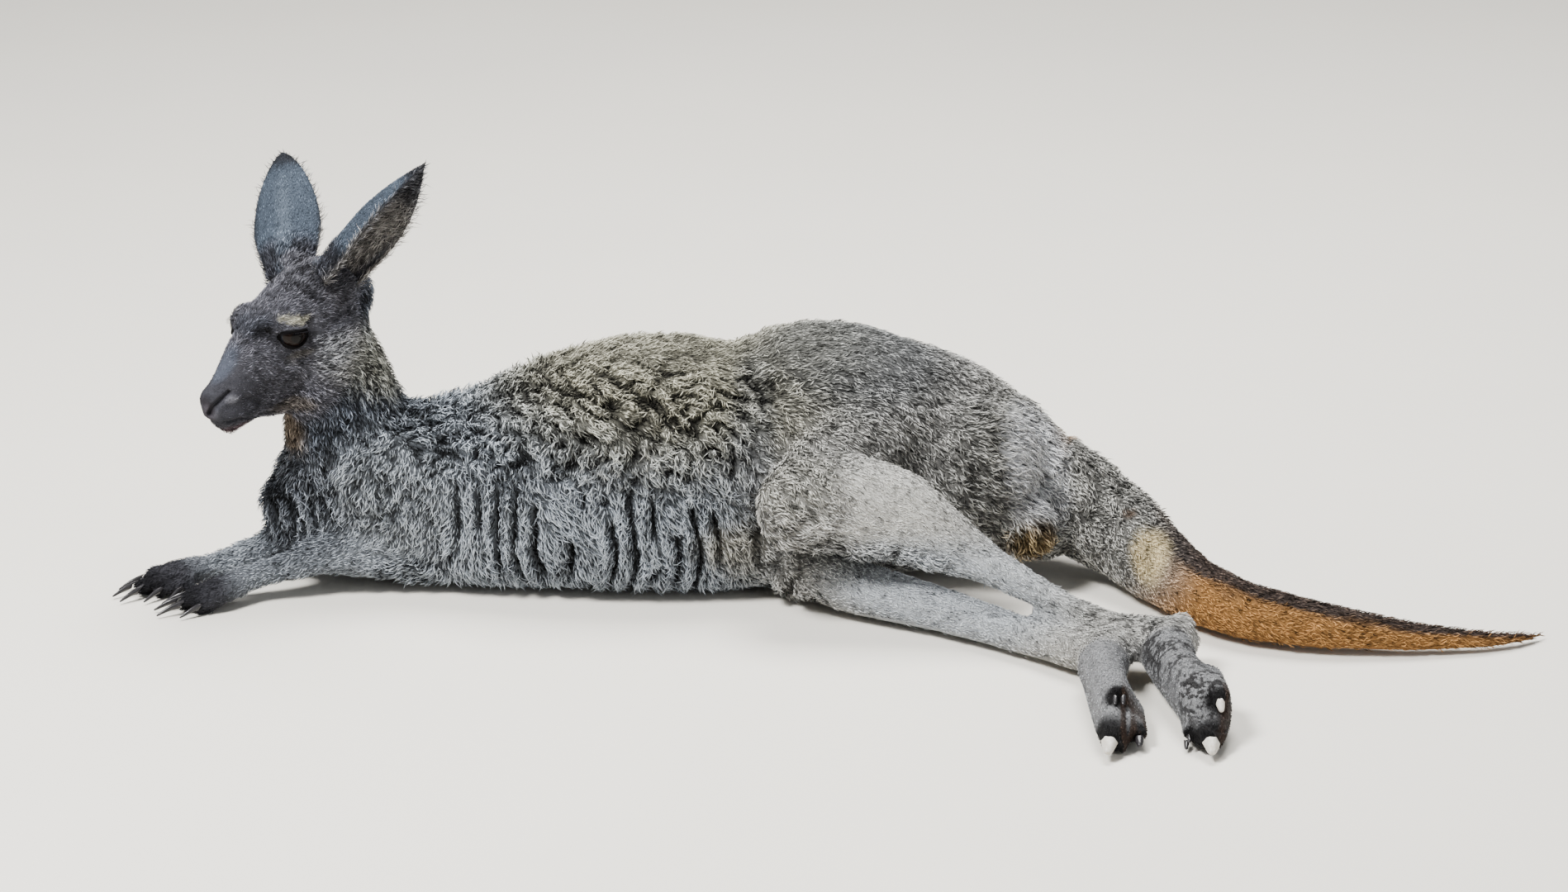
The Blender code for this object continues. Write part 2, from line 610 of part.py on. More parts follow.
def fuse(pieces):
    """One smooth skin round all the lofts."""
    flesh = join("flesh", pieces)
    grid = flesh.modifiers.new("Fuse", "REMESH")
    grid.mode = "VOXEL"
    grid.voxel_size = VOXEL
    soften = flesh.modifiers.new("Soften", "SMOOTH")
    soften.factor = 0.5
    soften.iterations = 4
    apply_modifiers(flesh)
    thin = flesh.modifiers.new("Thin out", "DECIMATE")
    thin.ratio = FLESH_TRIANGLES / (2 * len(flesh.data.polygons))
    thin.use_collapse_triangulate = True
    apply_modifiers(flesh)
    return flesh


def boolean(shape, tool, operation):
    """Apply one exact Boolean of the tool to the shape."""
    cut = shape.modifiers.new("Cut", "BOOLEAN")
    cut.operation = operation
    cut.solver = "EXACT"
    cut.object = tool
    apply_modifiers(shape)


def swell(shape, distance=GAP):
    """Push every face outward by the same distance."""
    builder = bmesh.new()
    builder.from_mesh(shape.data)
    builder.normal_update()
    moves = [(corner, corner.normal * distance * corner.calc_shell_factor()) for corner in builder.verts]
    for corner, move in moves:
        corner.co += move
    builder.to_mesh(shape.data)
    builder.free()


def keep_main_body(shape):
    """Drop crumbs, so that the mesh is one connected body."""
    builder = bmesh.new()
    builder.from_mesh(shape.data)
    unseen = set(builder.verts)
    islands = []
    while unseen:
        front = [unseen.pop()]
        island = set(front)
        while front:
            corner = front.pop()
            for edge in corner.link_edges:
                neighbour = edge.other_vert(corner)
                if neighbour in unseen:
                    unseen.discard(neighbour)
                    island.add(neighbour)
                    front.append(neighbour)
        islands.append(island)
    islands.sort(key=len, reverse=True)
    crumbs = [corner for island in islands[1:] for corner in island]
    bmesh.ops.delete(builder, geom=crumbs, context="VERTS")
    bmesh.ops.dissolve_degenerate(builder, edges=builder.edges, dist=0.00002)
    bmesh.ops.triangulate(builder, faces=builder.faces)
    builder.to_mesh(shape.data)
    builder.free()


def copy_of(shape, name):
    twin = bpy.data.objects.new(name, shape.data.copy())
    bpy.context.collection.objects.link(twin)
    return twin


def box(name, middle, axis, size, frame=None):
    """Box of size (along axis, across, height) whose near face passes through middle."""
    axis = Vector(axis).normalized()
    turn = axis.to_track_quat("X", "Z").to_matrix().to_4x4()
    builder = bmesh.new()
    bmesh.ops.create_cube(builder, size=1.0)
    shift = Matrix.Translation((0.5, 0, 0))
    shape = Matrix.Translation(middle) @ turn @ Matrix.Diagonal((*size, 1)) @ shift
    builder.transform(frame @ shape if frame else shape)
    tool = new_object(name, builder)
    tool.hide_render = True
    tool.display_type = "WIRE"
    return tool


def part_off(flesh, name, region):
    """Split off what lies inside the region as its own solid, leaving a thin gap."""
    piece = copy_of(flesh, name)
    boolean(piece, region, "INTERSECT")
    swell(region)
    boolean(flesh, region, "DIFFERENCE")
    remove(region)
    return piece


def grown(stations, extra):
    """The same stations with both radii enlarged."""
    return [(*station[:3], station[3] + extra, station[4] + extra, station[5]) for station in stations]




def region(stations, margin=LIMB_MARGIN):
    """Coarse loft that encloses a limb."""
    return loft("cutter", grown(stations, margin), count=8, steps=1, dome=(45,))


def limb_regions():
    """Grown copies of the limb lofts; each takes its limb out of the body."""
    fore = foreleg_stations()
    hind = hind_leg_stations()
    return {
        "forearm_left": region(fore["forearm_left"][:5]),
        "forearm_right": region(fore["forearm_right"][:5]),
        "upper_arm_left": bulge("cutter", *SHOULDERS["upper_arm_left"]),
        "upper_arm_right": bulge("cutter", *SHOULDERS["upper_arm_right"]),
        "shank_left": region(hind["shank_left"] + [ANKLES["left"]]),
        "shank_right": region(hind["shank_right"] + [ANKLES["right"]]),
        "thigh_left": region(hind["thigh_left"], THIGH_MARGIN),
        "thigh_right": region(hind["thigh_right"], THIGH_MARGIN),
        "nose": bulge("cutter", NOSE_PLACE, NOSE_RADII, frame=HEAD),
    }


def centre_on_floor(solids):
    """Move everything so that the origin is under the middle of the bounding box, at floor level."""
    corners = [solid.matrix_world @ corner.co for solid in solids for corner in solid.data.vertices]
    low = [min(corner[axis] for corner in corners) for axis in range(3)]
    high = [max(corner[axis] for corner in corners) for axis in range(3)]
    shift = Vector((-(low[0] + high[0]) / 2, -(low[1] + high[1]) / 2, -low[2]))
    for solid in solids:
        solid.data.transform(Matrix.Translation(shift))
    return shift


def finish_surface(solid):
    """Give the solid its material and smooth shading."""
    finish = next(entry for entry in FINISHES if solid.name.startswith(entry[0]))
    solid.data.materials.clear()
    solid.data.materials.append(material(*finish[1:]))
    solid.data.shade_smooth()
    solid.data.set_sharp_from_angle(angle=SHARP_EDGE)


def main():
    for item in list(bpy.data.objects):
        bpy.data.objects.remove(item, do_unlink=True)
    lofts = trunk_lofts() + [neck_loft()] + head_lofts() + leg_lofts()
    flesh = fuse(lofts + finger_lofts() + toe_lofts() + [tail_loft()])
    floor = box("floor", (0, 0, 0), (0, 0, -1), (FLOOR_DEPTH, FLOOR_SIDE, FLOOR_SIDE))
    boolean(flesh, floor, "DIFFERENCE")
    remove(floor)
    solids = eyes()
    for eyeball in solids:
        socket = copy_of(eyeball, "socket")
        swell(socket)
        boolean(flesh, socket, "DIFFERENCE")
        remove(socket)
    envelope = copy_of(flesh, "envelope")
    swell(envelope)
    for piece in ears() + claws():
        boolean(piece, envelope, "DIFFERENCE")
        keep_main_body(piece)
        solids.append(piece)
    remove(envelope)
    regions = limb_regions()
    for name, (place, axis, size) in CUTS.items():
        regions[name] = box("cutter", place, axis, size, HEAD if name == "head" else None)
    for name in CUT_ORDER:
        solids.append(part_off(flesh, name, regions[name]))
    flesh.name = "abdomen"
    solids.append(flesh)
    for solid in solids:
        keep_main_body(solid)
        finish_surface(solid)
    centre_on_floor(solids)
    return solids


if __name__ == "__main__":
    main()
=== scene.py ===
"""Resting grey kangaroo: one skin, its coat of tufts, eyes, claws and a plain studio.

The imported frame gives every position. The skin is remeshed from the nodes of flesh, sunk by the
depth of the coat, and sculpted at the head. The coat is solid tufts rooted on the skin, which
follow the lie of the hair and share the skin's markings. Units are metres, +Z is up.
"""
import math

import bmesh
import bpy
import numpy as np
from bpy.props import FloatProperty, FloatVectorProperty, IntProperty, PointerProperty
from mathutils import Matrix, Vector
from mathutils.bvhtree import BVHTree


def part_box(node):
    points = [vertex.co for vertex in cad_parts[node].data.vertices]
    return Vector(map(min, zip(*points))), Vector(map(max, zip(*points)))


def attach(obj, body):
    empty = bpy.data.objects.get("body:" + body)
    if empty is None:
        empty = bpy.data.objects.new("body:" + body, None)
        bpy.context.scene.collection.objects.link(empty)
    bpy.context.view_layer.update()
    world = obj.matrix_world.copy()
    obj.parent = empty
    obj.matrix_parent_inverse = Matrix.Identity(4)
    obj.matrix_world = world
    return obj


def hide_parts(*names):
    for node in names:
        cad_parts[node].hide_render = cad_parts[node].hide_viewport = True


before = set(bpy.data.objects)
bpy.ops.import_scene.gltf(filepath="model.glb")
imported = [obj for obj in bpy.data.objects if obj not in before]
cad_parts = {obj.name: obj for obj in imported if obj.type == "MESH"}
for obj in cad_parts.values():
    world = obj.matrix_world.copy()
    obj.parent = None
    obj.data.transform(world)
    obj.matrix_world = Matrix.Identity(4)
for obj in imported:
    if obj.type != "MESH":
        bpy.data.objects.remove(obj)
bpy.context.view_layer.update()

bl_info = {
    "name": "Resting Kangaroo",
    "version": (1, 0, 0),
    "blender": (4, 5, 0),
    "location": "View3D > Sidebar > Kangaroo",
    "description": "Skin, coat, eyes, claws and studio for a life-size resting kangaroo",
    "category": "Object",
}

# ---- the parts of the body ------------------------------------------------------------------
FLESH = [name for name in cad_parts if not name.startswith(("claw", "eye", "ear"))]
EARS = ("ear_left", "ear_right")
EYES = ("eye_left", "eye_right")
CLAWS = [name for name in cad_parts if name.startswith("claw")]
LAID_ON_FLOOR = 0.0006        # lowest height of any hair
BAKE_MAP = "OFBake"

# columns of COATS: coat depth, tuft length, tuft width (mm), lift (degrees), tufts per cm2,
# depth of the furrows (mm), passes of smoothing
DEPTH, LENGTH, WIDTH, LIFT, DENSITY, FURROW, PASSES = range(7)
COATS = {
    "nose": (0.3, 1.6, 0.5, 8, 0, 0.0, 2),
    "head": (2.0, 6.0, 0.75, 18, 46, 0.0, 4),
    "ear": (0.0, 4.0, 0.7, 14, 34, 0.0, 0),
    "neck": (5.0, 12.0, 1.3, 34, 18, 2.5, 12),
    "chest": (9.0, 15.0, 1.6, 34, 14, 6.0, 30),
    "abdomen": (10.0, 15.0, 1.6, 34, 14, 9.0, 30),
    "pelvis": (8.0, 13.0, 1.5, 26, 13, 2.4, 30),
    "thigh": (7.0, 12.0, 1.5, 24, 13, 1.6, 26),
    "shank": (3.5, 7.5, 1.1, 16, 17, 0.4, 14),
    "foot": (1.6, 4.2, 0.9, 14, 20, 0.0, 5),
    "upper_arm": (7.0, 13.0, 1.5, 30, 14, 3.5, 26),
    "forearm": (2.8, 8.0, 1.0, 24, 20, 1.2, 8),
    "hand": (0.9, 5.0, 0.8, 22, 26, 0.0, 2),
    "tail": (4.0, 8.5, 1.2, 20, 15, 0.3, 14),
}


def kind_of(node):
    """The coat's kind for a node."""
    return next(kind for kind in COATS if node.startswith(kind))


def centre(node):
    low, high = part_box(node)
    return (np.array(low) + np.array(high)) / 2


def unit(vectors):
    """Vectors scaled to length one, along the last axis."""
    return vectors / np.maximum(np.linalg.norm(vectors, axis=-1, keepdims=True), 1e-12)


def levelled(vectors, normals):
    """Vectors without their part along the normals."""
    return vectors - normals * (vectors * normals).sum(axis=1, keepdims=True)


def way(start, end):
    """Direction from one node's centre to another's."""
    return unit(centre(end) - centre(start))


# ---- colours --------------------------------------------------------------------------------
def linear(colour_hex):
    """Linear RGB of an sRGB hex colour."""
    channels = [int(colour_hex[i:i + 2], 16) / 255 for i in (0, 2, 4)]
    return tuple(c / 12.92 if c <= 0.04045 else ((c + 0.055) / 1.055) ** 2.4 for c in channels)


def colour_property(name, description, colour_hex):
    return FloatVectorProperty(name=name, description=description, subtype="COLOR", size=3,
                               min=0.0, max=1.0, default=linear(colour_hex))


# ---- head frame: origin between the eyes, +X to the nose, +Y to its left, +Z up -------------
# places of the head's landmarks in its own frame
LANDMARKS = {
    "eye_left": (0.0030, 0.0300, 0.0110),
    "eye_right": (0.0140, -0.0350, 0.0070),
    "nose": (0.0968, -0.0001, -0.0339),
}


def head_frame():
    """Rows are the head's axes; the second value is its origin. Best turn onto the landmarks."""
    own = np.array(list(LANDMARKS.values()))
    there = np.array([centre(node) for node in LANDMARKS])
    left, _, right = np.linalg.svd((own - own.mean(axis=0)).T @ (there - there.mean(axis=0)))
    axes = left @ np.diag((1, 1, np.linalg.det(left @ right))) @ right
    return axes, there.mean(axis=0) - own.mean(axis=0) @ axes


HEAD_AXES, HEAD_ORIGIN = head_frame()


def to_head(points):
    return (points - HEAD_ORIGIN) @ HEAD_AXES.T


def from_head(points):
    return points @ HEAD_AXES + HEAD_ORIGIN


# ---- smooth noise ---------------------------------------------------------------------------
def noise_table(seed, size=32):
    return np.random.default_rng(seed).random((size, size, size))


def noise(table, points):
    """Value noise from 0 to 1 with one lattice cell for each unit."""
    cell = np.floor(points).astype(int)
    part = points - cell
    part = part * part * (3 - 2 * part)
    size = table.shape[0]
    total = np.zeros(len(points))
    for corner in np.ndindex(2, 2, 2):
        place = (cell + corner) % size
        weight = np.ones(len(points))
        for axis in range(3):
            weight *= part[:, axis] if corner[axis] else 1 - part[:, axis]
        total += weight * table[place[:, 0], place[:, 1], place[:, 2]]
    return total


def blend(values, others, share):
    """Values with a share of the others mixed in."""
    return values * (1 - share) + others * share


def ramp(values, start, end):
    """Smooth step from 0 at start to 1 at end."""
    t = np.clip((values - start) / (end - start), 0, 1)
    return t * t * (3 - 2 * t)


# ---- mesh helpers ---------------------------------------------------------------------------
def read_array(items, field, columns, kind=float):
    """One field of a mesh's items, as one row for each item."""
    values = np.empty(len(items) * columns, kind)
    items.foreach_get(field, values)
    return values.reshape(-1, columns)


def vertex_array(mesh):
    return read_array(mesh.vertices, "co", 3)


def vertex_normals(mesh):
    return read_array(mesh.vertex_normals, "vector", 3)


def set_vertices(mesh, points):
    mesh.vertices.foreach_set("co", points.astype(np.float32).ravel())
    mesh.update()


def edge_array(mesh):
    return read_array(mesh.edges, "vertices", 2, int)


def neighbour_mean(values, edges, counts):
    """Mean of each vertex's neighbours, column by column."""
    total = np.empty_like(values)
    for column in range(values.shape[1]):
        one = values[:, column]
        total[:, column] = (np.bincount(edges[:, 0], one[edges[:, 1]], len(values))
                            + np.bincount(edges[:, 1], one[edges[:, 0]], len(values)))
    return total / counts[:, None]


def blurred(values, edges, passes):
    """Values spread over the surface."""
    counts = np.maximum(np.bincount(edges.ravel(), minlength=len(values)), 1)
    for _ in range(passes):
        values = 0.5 * values + 0.5 * neighbour_mean(values, edges, counts)
    return values


def store_colours(mesh, colours):
    """Keep a colour for each vertex, for the materials to read."""
    rgba = np.ones((len(colours), 4), np.float32)
    rgba[:, :3] = colours
    mesh.attributes.new("coat", "FLOAT_COLOR", "POINT").data.foreach_set("color", rgba.ravel())


def built_mesh(builder, name):
    """A new mesh from a finished builder."""
    mesh = bpy.data.meshes.new(name)
    builder.to_mesh(mesh)
    builder.free()
    return mesh


def linked(name, data):
    """A new object in the scene round a mesh, a lamp or a camera."""
    shape = bpy.data.objects.new(name, data)
    bpy.context.collection.objects.link(shape)
    return shape


def bake_modifiers(shape):
    depsgraph = bpy.context.evaluated_depsgraph_get()
    baked = bpy.data.meshes.new_from_object(shape.evaluated_get(depsgraph))
    shape.modifiers.clear()
    shape.data = baked


def part_finder(nodes):
    """A tree over the nodes' faces and the node of each face."""
    corners, faces, owner = [], [], []
    for index, node in enumerate(nodes):
        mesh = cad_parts[node].data
        start = len(corners)
        corners += [vertex.co[:] for vertex in mesh.vertices]
        faces += [[start + i for i in face.vertices] for face in mesh.polygons]
        owner += [index] * len(mesh.polygons)
    return BVHTree.FromPolygons(corners, faces), np.array(owner)


def nearest_parts(points, nodes):
    tree, owner = part_finder(nodes)
    return owner[[tree.find_nearest(point)[2] for point in points]]


def table_column(nodes, parts, column):
    """One column of the coat table at every vertex."""
    return np.array([COATS[kind_of(node)][column] for node in nodes], float)[parts]


# ---- node helpers ---------------------------------------------------------------------------
def add_node(tree, kind, settings=None, **inputs):
    """Add a node, set its properties, and set or link its inputs (a socket links)."""
    node = tree.nodes.new(kind)
    for key, value in (settings or {}).items():
        setattr(node, key, value)
    for key, value in inputs.items():
        number = key[1:]
        socket = node.inputs[int(number) if number.isdigit() else key.replace("_", " ")]
        if isinstance(value, bpy.types.NodeSocket):
            tree.links.new(value, socket)
        else:
            socket.default_value = value
    return node


def new_material(name, roughness, **constants):
    """An empty Principled material; returns it, its tree and its shader."""
    finish = bpy.data.materials.new(name)
    finish.use_nodes = True
    tree = finish.node_tree
    shader = tree.nodes["Principled BSDF"]
    shader.inputs["Roughness"].default_value = roughness
    for key, value in constants.items():
        shader.inputs[key.replace("_", " ")].default_value = value
    return finish, tree, shader


# ---- skin -----------------------------------------------------------------------------------
def fused_flesh(voxel):
    """One voxel surface round the flesh and the eyeballs."""
    builder = bmesh.new()
    for node in FLESH + list(EYES):
        builder.from_mesh(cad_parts[node].data)
    shape = linked("skin", built_mesh(builder, "skin"))
    grid = shape.modifiers.new("Fuse", "REMESH")
    grid.mode = "VOXEL"
    grid.voxel_size = voxel
    bake_modifiers(shape)
    return shape


SOFTEN_IN, SOFTEN_OUT = 0.50, -0.52    # the second step undoes the shrinking of the first


def soften(points, edges, passes):
    """Taubin smoothing, with as many passes at each vertex as its part asks for."""
    counts = np.maximum(np.bincount(edges.ravel(), minlength=len(points)), 1)
    for step in range(int(passes.max())):
        active = (passes > step)[:, None]
        for factor in (SOFTEN_IN, SOFTEN_OUT):
            points = points + active * factor * (neighbour_mean(points, edges, counts) - points)
    return points


def divided(mesh, chosen):
    """Split every edge whose two ends are chosen."""
    builder = bmesh.new()
    builder.from_mesh(mesh)
    builder.verts.ensure_lookup_table()
    edges = [edge for edge in builder.edges
             if chosen[edge.verts[0].index] and chosen[edge.verts[1].index]]
    bmesh.ops.subdivide_edges(builder, edges=edges, cuts=1, use_grid_fill=True)
    builder.to_mesh(mesh)
    builder.free()


# the eye in the head frame; the slit runs level while the head's long axis drops
EYE_BALL = 0.0158            # radius
EYE_CENTRE = np.array((0.0030, 0.0288, 0.0108))
# the right brow is raised: its eye lies this far from the left eye's mirror image
RIGHT_EYE_SHIFT = np.array((0.0110, 0.0050, -0.0040))
EYE_LOOK = unit(np.array((0.28, 0.95, 0.08)))
EYE_SLIT = unit(np.array((0.94, -0.34, 0.26)))
EYE_ALONG = unit(EYE_SLIT - EYE_LOOK * (EYE_SLIT @ EYE_LOOK))
EYE_UP = np.cross(EYE_ALONG, EYE_LOOK)
EYE_UP = EYE_UP * np.sign(EYE_UP[2])
LID_THICKNESS = 0.0016
SLIT_REACH = 1.10            # half length of the opening, radians round the ball
LID_LOWER = 0.66             # lowest point of the lower lid's edge
LID_UPPER = 0.32             # highest point of the upper lid's edge
LID_POWER = 2.2              # how blunt the slit's two ends are
LID_REACH = 0.020            # how far past the ball the lids shape the face
SUNK_UNDER_BALL = 0.0022     # depth of the skin inside the opening


def eye_angles(local):
    """Distance from the eyeball's middle, and angles along and up from its axis."""
    offset = local - EYE_CENTRE
    reach = np.linalg.norm(offset, axis=1)
    outward = offset @ EYE_LOOK
    along = np.arctan2(offset @ EYE_ALONG, outward)
    up = np.arctan2(offset @ EYE_UP, np.hypot(outward, offset @ EYE_ALONG))
    return reach, along, up, outward


def folded(local):
    """The right half laid over the left, and both eyes brought to one place."""
    over = np.abs(local * (0, 1, 0)) + local * (1, 0, 1)
    near = ramp(np.linalg.norm(over - EYE_CENTRE - RIGHT_EYE_SHIFT, axis=1), 0.045, 0.022)
    return over - (near * (local[:, 1] < 0))[:, None] * RIGHT_EYE_SHIFT


def lid_distance(along, up):
    """Signed angle from the lids' edge: below 0 inside the opening."""
    share = np.clip(np.abs(along) / SLIT_REACH, 0, 1)
    arch = np.sqrt(np.clip(1 - share ** LID_POWER, 0, 1))
    middle = 0.5 * (LID_UPPER - LID_LOWER) * arch
    half = 0.5 * (LID_UPPER + LID_LOWER) * arch
    beyond = np.maximum(np.abs(along) - SLIT_REACH, 0)
    return np.hypot(np.maximum(np.abs(up - middle) - half, 0), beyond) \
        - np.where(beyond > 0, 0, np.minimum(half - np.abs(up - middle), half).clip(0))


def sculpt_eye(local):
    """Wrap the lids round the ball and sink the skin under it inside the opening."""
    reach, along, up, outward = eye_angles(local)
    gap = lid_distance(along, up)
    near = (outward > -0.004) & (reach < EYE_BALL + LID_REACH)
    lid = EYE_BALL + LID_THICKNESS + 0.0010 * ramp(up, 0.1, 0.9)
    crease = 0.0009 * np.exp(-((gap - 0.40) / 0.10) ** 2)
    hold = ramp(gap, 1.05, 0.40)
    target = reach * (1 - hold) + (lid - crease) * hold
    target = np.where(gap < 0, EYE_BALL - SUNK_UNDER_BALL, target)
    rim = np.exp(-((gap - 0.05) / 0.05) ** 2) * 0.0003
    target = np.where(gap >= 0, target + rim, target)
    scale = np.where(near, target / np.maximum(reach, 1e-9), 1.0)
    return EYE_CENTRE + (local - EYE_CENTRE) * scale[:, None]


def flattened(offset, inward, keep=0.3):
    """Offsets with their part along the inward direction shortened."""
    inward = unit(np.array(inward, float))
    return offset - (1 - keep) * (offset @ inward)[:, None] * inward


def dent(local, place, radii, depth, inward):
    """Push the surface inward in a soft ellipsoid; a negative depth raises it."""
    offset = flattened(local - np.array(place), inward)
    near = np.exp(-((offset / np.array(radii)) ** 2).sum(axis=1))
    return local + near[:, None] * depth * np.array(inward)


def path_distance(local, path, inward):
    """Distance from a chain of points, counting little along the inward direction."""
    best = np.full(len(local), 1e9)
    for start, end in zip(path, path[1:]):
        run = np.array(end) - np.array(start)
        offset = local - np.array(start)
        share = np.clip((offset @ run) / (run @ run), 0, 1)
        offset = flattened(offset - share[:, None] * run, inward)
        best = np.minimum(best, np.linalg.norm(offset, axis=1))
    return best


def line_share(local, path, inward, width):
    """1 on a chain of points, falling softly past its width."""
    return np.exp(-(path_distance(local, path, inward) / width) ** 2)


def groove(local, path, width, depth, inward):
    """Push the surface inward along a chain of points."""
    near = line_share(local, path, inward, width)
    return local + near[:, None] * depth * np.array(inward)


# landmarks of the left half of the face in the head frame; the right half mirrors them
NOSTRIL_PATH = ((0.0862, 0.0184, -0.0239), (0.0944, 0.0153, -0.0275),
                (0.1037, 0.0116, -0.0326), (0.1067, 0.0072, -0.0403))
NOSTRIL_INWARD = (-0.62, -0.78, 0.08)
MOUTH_PATH = ((0.0427, 0.0151, -0.0660), (0.0580, 0.0195, -0.0625), (0.0736, 0.0240, -0.0565),
              (0.0835, 0.0235, -0.0535), (0.0945, 0.0190, -0.0520), (0.1033, 0.0106, -0.0515),
              (0.1055, 0.0000, -0.0500))
MOUTH_INWARD = (-0.35, -0.93, 0.0)
CHEEK_FOLD = ((0.0700, 0.0215, -0.0330), (0.0600, 0.0230, -0.0420), (0.0520, 0.0250, -0.0500))
# jaw, hollow and fold at the eye's inner corner, wing of the nostril, bridge of the nose:
# place, radii, depth and inward direction
FACE_DENTS = (
    ((0.0280, 0.0040, -0.0680), (0.0380, 0.0260, 0.0180), -0.0050, (0, 0, 1)),
    ((0.0350, 0.0290, 0.0150), (0.0100, 0.0100, 0.0060), 0.0030, (0, -1, 0)),
    ((0.0360, 0.0300, 0.0165), (0.0040, 0.0060, 0.0022), -0.0016, (0, -1, 0)),
    ((0.0790, 0.0205, -0.0300), (0.0060, 0.0070, 0.0050), -0.0024, (0, -1, 0)),
    ((0.0960, 0.0090, -0.0240), (0.0080, 0.0070, 0.0050), -0.0012, (-0.3, -0.6, -0.7)),
)
# path, width, depth and inward direction
FACE_GROOVES = (
    (NOSTRIL_PATH, 0.0028, 0.0070, NOSTRIL_INWARD),
    (MOUTH_PATH, 0.0020, 0.0045, MOUTH_INWARD),
    (CHEEK_FOLD, 0.0030, 0.0010, (0, -1, 0)),
)


def sculpt_half(local):
    """Jaw, lip, nostril, mouth line and folds of the left half of the face."""
    for place, radii, depth, inward in FACE_DENTS:
        local = dent(local, place, radii, depth, inward)
    for path, width, depth, inward in FACE_GROOVES:
        local = groove(local, path, width, depth, inward)
    return local


def sculpt_face(points):
    """Sculpt both halves of the face."""
    local = to_head(points)
    right = local[:, 1] < 0
    mirror = np.where(right, -1.0, 1.0)
    local[:, 1] *= mirror
    aside = right[:, None] * RIGHT_EYE_SHIFT
    local = sculpt_half(sculpt_eye(local - aside) + aside)
    local[:, 1] = np.maximum(local[:, 1], 0) * mirror
    return from_head(local)


# length, width and depth of the creases between fingers, and between the two big toes
FINGER_CREASE = (0.052, 0.0026, 0.0065)
TOE_CREASE = (0.050, 0.0034, 0.0050)


def finger_rows():
    """The claws across each hand and foot, the way back to the wrist, and the creases' sizes."""
    rows = []
    for side in ("left", "right"):
        fingers = [centre(f"claw_{side}_finger_{number}") for number in range(1, 6)]
        rows.append((fingers, way(f"claw_{side}_finger_3", "forearm_" + side), *FINGER_CREASE))
        toes = [centre(f"claw_{side}_toe_{number}") for number in (4, 5)]
        rows.append((toes, np.array((0, 1.0, 0)), *TOE_CREASE))
    return rows


def near_claws(points):
    """Where the hands' and feet's skin is fine enough to part fingers and toes."""
    near = np.zeros(len(points), bool)
    for middles, back, reach, *_ in finger_rows():
        for middle in middles:
            near |= np.linalg.norm(points - middle - back * reach * 0.4, axis=1) < reach * 0.8
    return near


def part_toes(points):
    """Press a crease between every two neighbouring fingers, and between the big toes."""
    for middles, back, reach, width, depth in finger_rows():
        for here, there in zip(middles, middles[1:]):
            across = there - here
            across = unit(across - back * (across @ back))
            offset = points - (here + there) / 2
            off_plane = offset @ across
            behind = offset @ back
            aside = np.linalg.norm(offset - behind[:, None] * back, axis=1)
            near = np.exp(-(off_plane / width) ** 2) * ramp(behind, reach, reach * 0.45)
            near *= (behind > -0.03) * ramp(aside, 0.040, 0.026) * (points[:, 2] > 0.006)
            points = points - np.array((0, 0, 1.0)) * (near * depth)[:, None]
    return points


# direction of each ear's tip and of its opening, half angle of its cup (degrees), half of its
# width laid flat, its width at the root as a share of the greatest, and its taper (below 1
# rounds the tip)
EAR_LIES = {
    "ear_left": ((0.625, -0.030, 0.800), (0.86, -0.50, 0.05), 88, 0.051, 0.86, 0.95),
    "ear_right": ((-0.080, 0.720, 0.680), (0.22, 0.75, -0.62), 45, 0.040, 0.80, 0.60),
}
EAR_ROOT_CURL = 100          # half angle of the cup where the ear leaves the head
EAR_LENGTH = 0.156
EAR_CENTRING = 0.62          # where the tip's line runs between the cup's back and its rims
EAR_WIDEST = 0.40            # share of the length where the ear is widest
# where the shaded rim inside each ear starts and is full, as shares across the ear
EAR_DARK_RIM = {"ear_left": (0.15, -0.15), "ear_right": (0.80, 1.00)}
EAR_THICKNESS = 0.0032       # at the middle of its root
EAR_ROWS = 34
EAR_COLUMNS = 22


def ear_axes(node):
    """Unit axes of an ear: to its tip, out of its opening, and across it."""
    direction, opening = (np.array(axis, float) for axis in EAR_LIES[node][:2])
    direction = unit(direction)
    opening = unit(opening - direction * (opening @ direction))
    return direction, opening, np.cross(direction, opening)


def ear_width(share, root_width, taper):
    """Width of the ear as a share of its greatest, at a share of its length."""
    if share < EAR_WIDEST:
        return root_width + (1 - root_width) * math.sin(math.pi / 2 * share / EAR_WIDEST)
    return max(0.0, math.cos(math.pi / 2 * (share - EAR_WIDEST) / (1 - EAR_WIDEST))) ** taper


